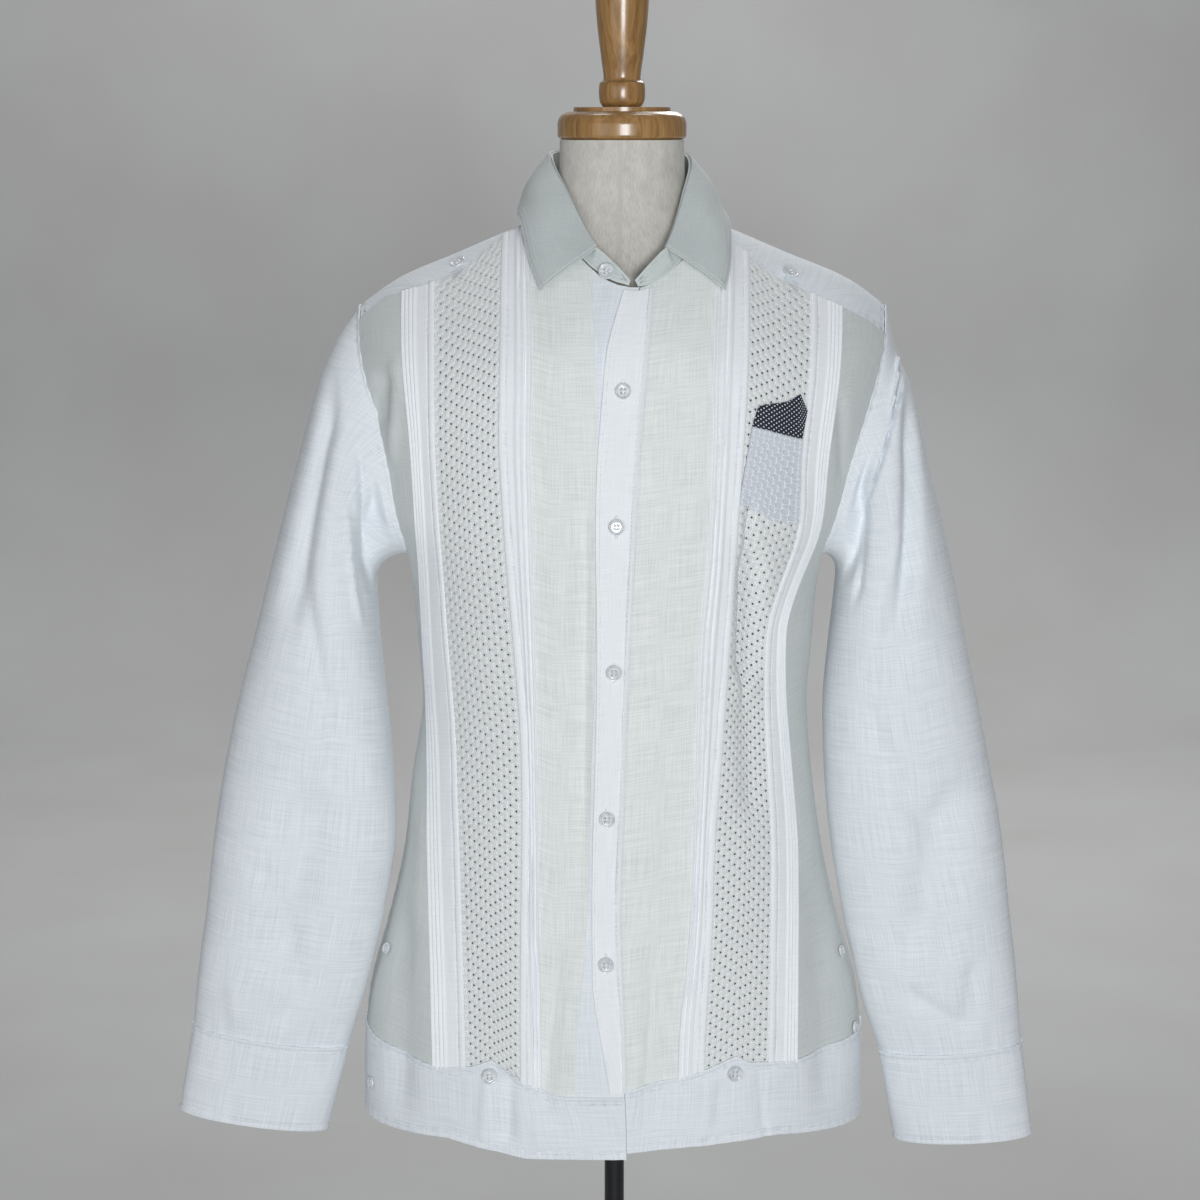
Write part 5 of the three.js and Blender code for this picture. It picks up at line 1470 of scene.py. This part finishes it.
def build_stand_collar(thick):
    halves = []
    for side in (-1, 1):
        tab = np.linspace(0, 1, 22)[:-1]
        names = ("foldX", "foldY", "foldZ")
        tab_rows = {k: np.append(STAND_TAB[k], COLLAR[k][0]) for k in ("turn", *names)}
        turn = station(tab_rows, "turn", tab)
        tab_top = collar_point(*[station(tab_rows, k, tab) for k in names], np.full(len(tab), side))
        share = np.linspace(0, 1, 70)
        fold, _ = collar_lines(share, np.full(len(share), side))
        inward = np.array([COLLAR_X, 0, 0]) - fold
        inward[:, 2] = 0
        inward /= np.linalg.norm(inward, axis=1, keepdims=True)
        top = np.concatenate([tab_top, fold + inward * STAND_INSET])
        turns = np.concatenate([turn, station(COLLAR, "turn", share)])
        base = stand_base(side, turns)
        halves.append((base, top) if side < 0 else (base[::-1][1:], top[::-1][1:]))
    base = np.concatenate([h[0] for h in halves])
    top = np.concatenate([h[1] for h in halves])
    t = spaced(38, 2.0, 0.8, 7)[:, None, None]
    points = mix(base[None], top[None], t * 0.97)
    across, up = arc(points, 1), arc(points, 0)
    ends = np.minimum(across, across[:, -1:] - across)
    relief = seam_roll(up, 0.5, 1.4) + seam_roll(ends, 0.5, 1.4)
    front = np.minimum(ends, 60) < 34
    relief = relief + np.where(front, seam_roll(up[-1:] - up, 0.4, 1.4), 0)
    stand = shell("collar_stand_cloth", points, cotton_poplin(), lift=-1.2, relief=relief, thick=thick)
    lay_cloth(stand, "collar_stand", points)


# ------------------------------------------------------------------ pocket, contrast piece
def patch_grid(rows, u, v):
    stations = np.linspace(0, 1, len(rows["lowX"]))
    read = {name: np.interp(u, stations, rows[name]) for name in rows}
    x = mix(read["lowX"], read["topX"], v[:, None])
    return body_point("front", x, mix(read["lowZ"], read["topZ"], v[:, None]))


def build_pocket():
    u, v = np.linspace(0, 1, 41), np.linspace(0, 1, 65)
    points = patch_grid(POCKET, u, v)
    up, across = arc(points, 0), arc(points, 1)
    relief, i, j = lace_relief(len(v), len(u), 0)
    band = ease((up[-1:] - up - 6.0) / 2.0)
    edge = np.minimum(across, across[:, -1:] - across)
    relief = relief * band * ease(edge / 2) + 0.5 * np.exp(-((edge / 1.2) ** 2)) + 0.5 * (1 - band)
    lace = eyelet_lace("doubled cotton lace", colours().pocket, colours().pocket_shade)
    uv = np.stack([i / 8, j / 8], -1)
    piece = shell("pocket_cloth", points, lace, lift=PATCH_LIFT, relief=relief, uv=uv)
    normals = grid_normals(points, False, False)
    lines = [line_on(points, normals, column=c, height=PATCH_LIFT + 1.5) for c in (2, 38)]
    lines.append(line_on(points, normals, row=2, height=PATCH_LIFT + 1.5))
    sewn = stitches("pocket_stitching", lines, thread())
    lay_cloth(piece, "pocket", points, [sewn])
    points = patch_grid(CONTRAST_PIECE, np.linspace(0, 1, 33), np.linspace(0, 1, 21))
    across = arc(points, 1)
    edge = np.minimum(across, across[:, -1:] - across)
    relief = 0.35 * np.exp(-((edge / 1.5) ** 2)) + 0.4 * np.sin(across / 7)
    piece = shell("contrast_piece_cloth", points, dotted_cotton(), lift=PATCH_LIFT, relief=relief)
    lay_cloth(piece, "contrast_piece", points)


# ------------------------------------------------------------------ buttons
def button_parts(radius, thick):
    """A four-hole button, facing +Z: vertices and faces."""
    turns = 48
    radii = np.concatenate(
        [np.linspace(0.02, 0.62, 16), [0.68, 0.74, 0.8, 0.86, 0.92, 0.97, 1.0, 1.0, 0.97, 0.8, 0.4, 0.02]]
    )
    heights = np.concatenate(
        [np.full(16, 0.68), [0.7, 0.76, 0.88, 0.98, 1.0, 0.92, 0.78, 0.42, 0.2, 0.02, 0, 0]]
    )
    a = np.linspace(0, 2 * np.pi, turns, endpoint=False)
    x = radius * radii[:, None] * np.cos(a)[None]
    y = radius * radii[:, None] * np.sin(a)[None]
    z = np.broadcast_to((thick * heights)[:, None], x.shape).copy()
    spread, hole = radius * 0.235, radius * 0.135
    front = np.arange(len(radii)) < 17
    for sx in (-1, 1):
        for sy in (-1, 1):
            away = np.hypot(x - sx * spread, y - sy * spread)
            z -= front[:, None] * thick * 0.55 * np.clip((hole * 1.15 - away) / (hole * 0.35), 0, 1)
    vertices = np.stack([x, y, z], -1).reshape(-1, 3)
    rows = len(radii)
    faces = []
    for j in range(rows - 1):
        for i in range(turns):
            n = (i + 1) % turns
            faces.append([j * turns + i, (j + 1) * turns + i, (j + 1) * turns + n, j * turns + n])
    faces.append(list(range(turns)))
    faces.append([(rows - 1) * turns + i for i in range(turns)][::-1])
    return vertices, faces


def thread_parts(radius, thick):
    """Two pairs of threads that cross the button between its holes."""
    spread = radius * 0.235
    parts = []
    for sy in (-1, 1):
        for shift in (-0.35, 0.35):
            t = np.linspace(0, 1, 9)
            x = mix(-spread, spread, t)
            z = thick * (0.25 + 0.62 * np.sin(np.pi * t) ** 0.5)
            y = np.full(9, sy * spread + shift)
            parts.append(path_tube(np.stack([x, y, z], -1), 0.32, 5))
    return join_parts(parts)


def buttonhole_parts(half_length, half_width):
    """A buttonhole's rim of close stitches round its slit, facing +Z, with its length along Y."""
    t = np.linspace(0, 2 * np.pi, 64, endpoint=False)
    rim = np.stack(
        [half_width * np.cos(t), half_length * np.sign(np.sin(t)) * np.abs(np.sin(t)) ** 0.6, 0 * t], -1
    )
    rim[:, 2] = 0.15 * np.sin(t * 32)
    return path_tube(rim, 0.55, 6, closed=True)


def turned_to(vertices, at, outward, up=(0, 0, 1)):
    """Vertices that face +Z, turned to face outward with their Y up, and moved to a point."""
    outward = np.asarray(outward, float) / np.linalg.norm(outward)
    side = np.cross(up, outward)
    side /= np.linalg.norm(side)
    upright = np.cross(outward, side)
    return vertices @ np.stack([side, upright, outward]) + np.asarray(at)


def surface_frame(x, z):
    """A point of the shirt's front and its outward direction."""
    step = 3.0
    at = body_point("front", np.array([x]), np.array([float(z)]))[0]
    across = body_point("front", np.array([x + step]), np.array([float(z)]))[0] - at
    up = body_point("front", np.array([x]), np.array([z + step]))[0] - at
    outward = np.cross(across, up)
    return at, outward / np.linalg.norm(outward)


def set_button(node, at, outward, stand_off, radius, thick, hole=True):
    vertices, faces = button_parts(radius, thick)
    place = np.asarray(at) + outward * stand_off
    piece = new_object(
        f"{node}_turned", turned_to(vertices, place, outward), faces, cast_resin(), sharp=40
    )
    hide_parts(node)
    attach(piece, "root")
    vertices, faces = thread_parts(radius, thick)
    sewn = new_object(f"{node}_thread", turned_to(vertices, place, outward), faces, thread())
    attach(sewn, "root")
    if hole:
        vertices, faces = buttonhole_parts(radius * 1.45, 1.3)
        place = np.asarray(at) + outward * (stand_off - 0.6)
        rim = new_object(f"{node}_buttonhole", turned_to(vertices, place, outward), faces, thread())
        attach(rim, "root")


def build_buttons():
    large, small = sizes().button_radius, sizes().small_button_radius
    for i, (x, z) in enumerate(((5.5, 878), (0.5, 777), (-1.2, 666), (-6.3, 550), (-7.2, 435))):
        at, outward = surface_frame(x, z)
        set_button(f"button_placket_{i + 1}", at, outward, PLACKET_LIFT + 2.0, large, 2.6)
    for node, x, z in (
        ("button_yoke_right", -120, 968),
        ("button_yoke_left", 134, 961),
        ("button_hem_right", -98, 342),
        ("button_hem_left", 93, 344),
    ):
        at, outward = surface_frame(x, z)
        set_button(node, at, outward, 2.3, large, 2.6, hole=False)
    for node, side, z in (
        ("button_vent_right_upper", -1, 424),
        ("button_vent_right_lower", -1, 314),
        ("button_vent_left_upper", 1, 422),
        ("button_vent_left_lower", 1, 360),
    ):
        x = float(x_at_angle(side * (outer_angle(z) - 17), np.array(float(z))))
        at, outward = surface_frame(x, z)
        set_button(node, at, outward, 2.0, small, 2.2, hole=False)
    outward = np.array([-0.15, -0.95, 0.25])
    outward /= np.linalg.norm(outward)
    set_button("button_stand", np.array([-6.5, -87.5, 966]), outward, 1.6, large, 2.6, hole=False)
    for side, suffix in ((-1, "right"), (1, "left")):
        row = {k: mix(SLEEVE[side][k][-1], CUFF[side][k], 0.5) for k in CUFF[side]}
        at = ellipse_point(row, np.array(290.0))
        outward = np.array([side * 0.12, 1, 0])
        outward /= np.linalg.norm(outward)
        set_button(f"button_cuff_{suffix}", at, outward, 1.6, large, 2.6)


# ------------------------------------------------------------------ dress form
def turned_piece(name, profile, centre_x, material, node, turns=96):
    """A turned piece from its profile, as (radius, height) points, on smooth curves between them."""
    profile = np.array(profile, float)
    a = np.linspace(0, 2 * np.pi, turns, endpoint=False)
    x = centre_x + profile[:, :1] * np.cos(a)[None]
    y = profile[:, :1] * np.sin(a)[None]
    z = np.broadcast_to(profile[:, 1:], x.shape)
    vertices = np.stack([x, y, z], -1).reshape(-1, 3)
    rows = len(profile)
    faces = [
        [
            j * turns + i, j * turns + (i + 1) % turns, (j + 1) * turns + (i + 1) % turns,
            (j + 1) * turns + i
        ]
        for j in range(rows - 1)
        for i in range(turns)
    ]
    faces.append(list(range(turns))[::-1])
    faces.append([(rows - 1) * turns + i for i in range(turns)])
    piece = new_object(name, vertices, faces, material, sharp=35)
    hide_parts(node)
    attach(piece, "root")
    return piece


def smooth_profile(points, per_step=8):
    """Points on a smooth curve through a profile's points."""
    points = np.array(points, float)
    rows = {"r": points[:, 0], "z": points[:, 1]}
    share = np.linspace(0, 1, per_step * (len(points) - 1) + 1)
    r = station(rows, "r", share)
    z = station(rows, "z", share)
    return np.stack([np.clip(r, 0.5, rows["r"].max()), np.clip(z, rows["z"].min(), rows["z"].max())], -1)


def build_form():
    around = np.linspace(0, 2 * np.pi, 96, endpoint=False)
    z = np.linspace(FORM["z"][0], FORM["z"][-1], 110)[:, None]
    s, c = np.sin(around)[None], np.cos(around)[None]
    reach = (np.abs(s) ** 2.2 + np.abs(c) ** 2.2) ** (-1 / 2.2)
    shift = float(spine(1000)) * ease((z - 880) / 60)
    depth = np.where(c > 0, -smooth(FORM, "front", z), smooth(FORM, "back", z))
    x = smooth(FORM, "half", z) * s * reach + shift
    points = np.stack(np.broadcast_arrays(x, depth * np.abs(c) * reach, z), -1)
    nv, nu = points.shape[:2]
    ids = np.arange(nv * nu).reshape(nv, nu)
    ids = np.concatenate([ids, ids[:, :1]], 1)
    faces = np.stack([ids[:-1, :-1], ids[:-1, 1:], ids[1:, 1:], ids[1:, :-1]], -1).reshape(-1, 4).tolist()
    faces += [list(range(nu))[::-1], [(nv - 1) * nu + i for i in range(nu)]]
    uv = np.stack([np.broadcast_to(around * 100, (nv, nu)), np.broadcast_to(z, (nv, nu))], -1).reshape(-1, 2)
    torso = new_object("form_torso_jersey", points.reshape(-1, 3), faces, cotton_jersey(), uv)
    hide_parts("form_torso")
    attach(torso, "root")
    neck_x = float(spine(1000))
    cap = smooth_profile(NECK_CAP[1:6]).tolist() + NECK_CAP[6:]
    turned_piece("neck_cap_turned", cap, neck_x, varnished_beech(), "neck_cap")
    turned_piece(
        "finial_turned", smooth_profile(FINIAL), neck_x, varnished_beech(), "finial"
    )
    low, high = (np.array(corner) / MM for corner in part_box("pole"))
    turned_piece(
        "pole_tube", [(8, low[2]), (8, high[2])], 0, powder_coated_steel(), "pole", 48
    )
    rounded = [(159 + math.sin(t), 1 - math.cos(t)) for t in np.linspace(0, math.pi / 2, 5)]
    rounded += [(157 + 3 * math.cos(t), 7 + 3 * math.sin(t)) for t in np.linspace(0, math.pi / 2, 9)]
    turned_piece("base_plate", rounded, 0, powder_coated_steel(), "base", 128)


# ------------------------------------------------------------------ stage
def build_stage():
    """A pale sweep behind and under the form, soft studio lights and the camera."""
    quarter = np.linspace(0, math.pi / 2, 12)
    cove = [(2.6 + 0.6 * math.sin(t), 0.6 - 0.6 * math.cos(t)) for t in quarter]
    cove = [(-4.0, 0.0)] + cove + [(3.2, 4.5)]
    vertices = np.array([[side * 6000, y / MM, z / MM] for y, z in cove for side in (-1, 1)])
    faces = [[2 * i, 2 * i + 1, 2 * i + 3, 2 * i + 2] for i in range(len(cove) - 1)]
    sweep = new_object("studio_sweep", vertices, faces, studio_paint(), sharp=80)
    scene = bpy.context.scene
    world = bpy.data.worlds.new("studio")
    world.use_nodes = True
    world.node_tree.nodes["Background"].inputs[0].default_value = (0.93, 0.96, 1.0, 1)
    world.node_tree.nodes["Background"].inputs[1].default_value = 0.17
    scene.world = world
    for name, place, aim, size, power, tint in (
        ("key_softbox", (0.3, -3.3, 0.95), (0, 0, 0.74), 0.9, 58, (0.96, 0.985, 1.0)),
        ("fill_softbox", (-1.5, -2.2, 1.1), (0, 0, 0.65), 1.2, 6, (0.96, 0.985, 1.0)),
        ("backdrop_softbox", (0, 1.2, 3.3), (0, 3.2, 0.9), 1.6, 52, (1, 1, 1)),
        ("rear_softbox", (0.6, 2.5, 2.4), (0, 0, 0.7), 1.2, 26, (1, 1, 1)),
    ):
        lamp = bpy.data.lights.new(name, "AREA")
        lamp.size, lamp.energy, lamp.color = size, power, tint
        holder = bpy.data.objects.new(name, lamp)
        holder.location = place
        holder.rotation_euler = (Vector(aim) - Vector(place)).to_track_quat("-Z", "Y").to_euler()
        scene.collection.objects.link(holder)
    camera = bpy.data.objects.new("camera", bpy.data.cameras.new("camera"))
    camera.data.sensor_width, camera.data.lens = 36, 83.7
    camera.location = (-0.0118, -2.2, 1.075)
    camera.rotation_euler = (math.radians(90 - 9.66), 0, 0)
    scene.collection.objects.link(camera)
    scene.camera = camera
    scene.view_settings.view_transform = "Standard"


# ------------------------------------------------------------------ operators
class PieceOperator:
    """What every operator of the panel shares."""

    bl_options = {"REGISTER"}

    def execute(self, context):
        self.build()
        return {"FINISHED"}


class GUAYABERA_OT_stage(PieceOperator, bpy.types.Operator):
    """Make the sweep, the lights and the camera"""

    bl_idname = "guayabera.stage"
    bl_label = "Stage"

    def build(self):
        build_stage()


class GUAYABERA_OT_dress_form(PieceOperator, bpy.types.Operator):
    """Make the dress form's torso, cap, finial, pole and base"""

    bl_idname = "guayabera.dress_form"
    bl_label = "Dress form"

    def build(self):
        build_form()


class GUAYABERA_OT_fronts(PieceOperator, bpy.types.Operator):
    """Make the panels, pintuck strips and lace of both fronts"""

    bl_idname = "guayabera.fronts"
    bl_label = "Fronts"

    def build(self):
        build_front(-1)
        build_front(1)


class GUAYABERA_OT_placket(PieceOperator, bpy.types.Operator):
    """Make the placket"""

    bl_idname = "guayabera.placket"
    bl_label = "Placket"

    def build(self):
        build_placket()


class GUAYABERA_OT_hem_bands(PieceOperator, bpy.types.Operator):
    """Make the hem bands of both fronts"""

    bl_idname = "guayabera.hem_bands"
    bl_label = "Hem bands"

    def build(self):
        build_hem_band(-1)
        build_hem_band(1)


class GUAYABERA_OT_back(PieceOperator, bpy.types.Operator):
    """Make the back and its hem band"""

    bl_idname = "guayabera.back"
    bl_label = "Back"

    def build(self):
        build_back()


class GUAYABERA_OT_yoke(PieceOperator, bpy.types.Operator):
    """Make the yoke"""

    bl_idname = "guayabera.yoke"
    bl_label = "Yoke"

    def build(self):
        build_yoke()


class GUAYABERA_OT_sleeves(PieceOperator, bpy.types.Operator):
    """Make the sleeves and cuffs"""

    bl_idname = "guayabera.sleeves"
    bl_label = "Sleeves and cuffs"

    def build(self):
        build_sleeves()


class GUAYABERA_OT_collar(PieceOperator, bpy.types.Operator):
    """Make the collar leaf and stand"""

    bl_idname = "guayabera.collar"
    bl_label = "Collar"

    def build(self):
        build_collar()


class GUAYABERA_OT_pocket(PieceOperator, bpy.types.Operator):
    """Make the pocket and the contrast piece above it"""

    bl_idname = "guayabera.pocket"
    bl_label = "Pocket"

    def build(self):
        build_pocket()


class GUAYABERA_OT_buttons(PieceOperator, bpy.types.Operator):
    """Make the buttons, their thread and buttonholes"""

    bl_idname = "guayabera.buttons"
    bl_label = "Buttons"

    def build(self):
        build_buttons()


OPERATORS = (
    GUAYABERA_OT_stage,
    GUAYABERA_OT_dress_form,
    GUAYABERA_OT_fronts,
    GUAYABERA_OT_placket,
    GUAYABERA_OT_hem_bands,
    GUAYABERA_OT_back,
    GUAYABERA_OT_yoke,
    GUAYABERA_OT_sleeves,
    GUAYABERA_OT_collar,
    GUAYABERA_OT_pocket,
    GUAYABERA_OT_buttons,
)


class GUAYABERA_PT_pieces(bpy.types.Panel):
    """Lists the pieces and what can be changed."""

    bl_idname = "GUAYABERA_PT_pieces"
    bl_label = "Guayabera"
    bl_space_type = "VIEW_3D"
    bl_region_type = "UI"
    bl_category = "Guayabera"

    def draw(self, context):
        for operator in OPERATORS:
            self.layout.operator(operator.bl_idname)
        for group in (context.scene.guayabera_sizes, context.scene.guayabera_colours):
            for name in group.bl_rna.properties.keys():
                if name not in ("rna_type", "name"):
                    self.layout.prop(group, name)


CLASSES = (GUAYABERA_PG_sizes, GUAYABERA_PG_colours, *OPERATORS, GUAYABERA_PT_pieces)


def register():
    for cls in CLASSES:
        bpy.utils.register_class(cls)
    bpy.types.Scene.guayabera_sizes = bpy.props.PointerProperty(type=GUAYABERA_PG_sizes)
    bpy.types.Scene.guayabera_colours = bpy.props.PointerProperty(type=GUAYABERA_PG_colours)


def unregister():
    del bpy.types.Scene.guayabera_colours
    del bpy.types.Scene.guayabera_sizes
    for cls in reversed(CLASSES):
        bpy.utils.unregister_class(cls)


def main():
    register()
    for operator in OPERATORS:
        group, name = operator.bl_idname.split(".")
        getattr(getattr(bpy.ops, group), name)()


if __name__ == "__main__":
    main()
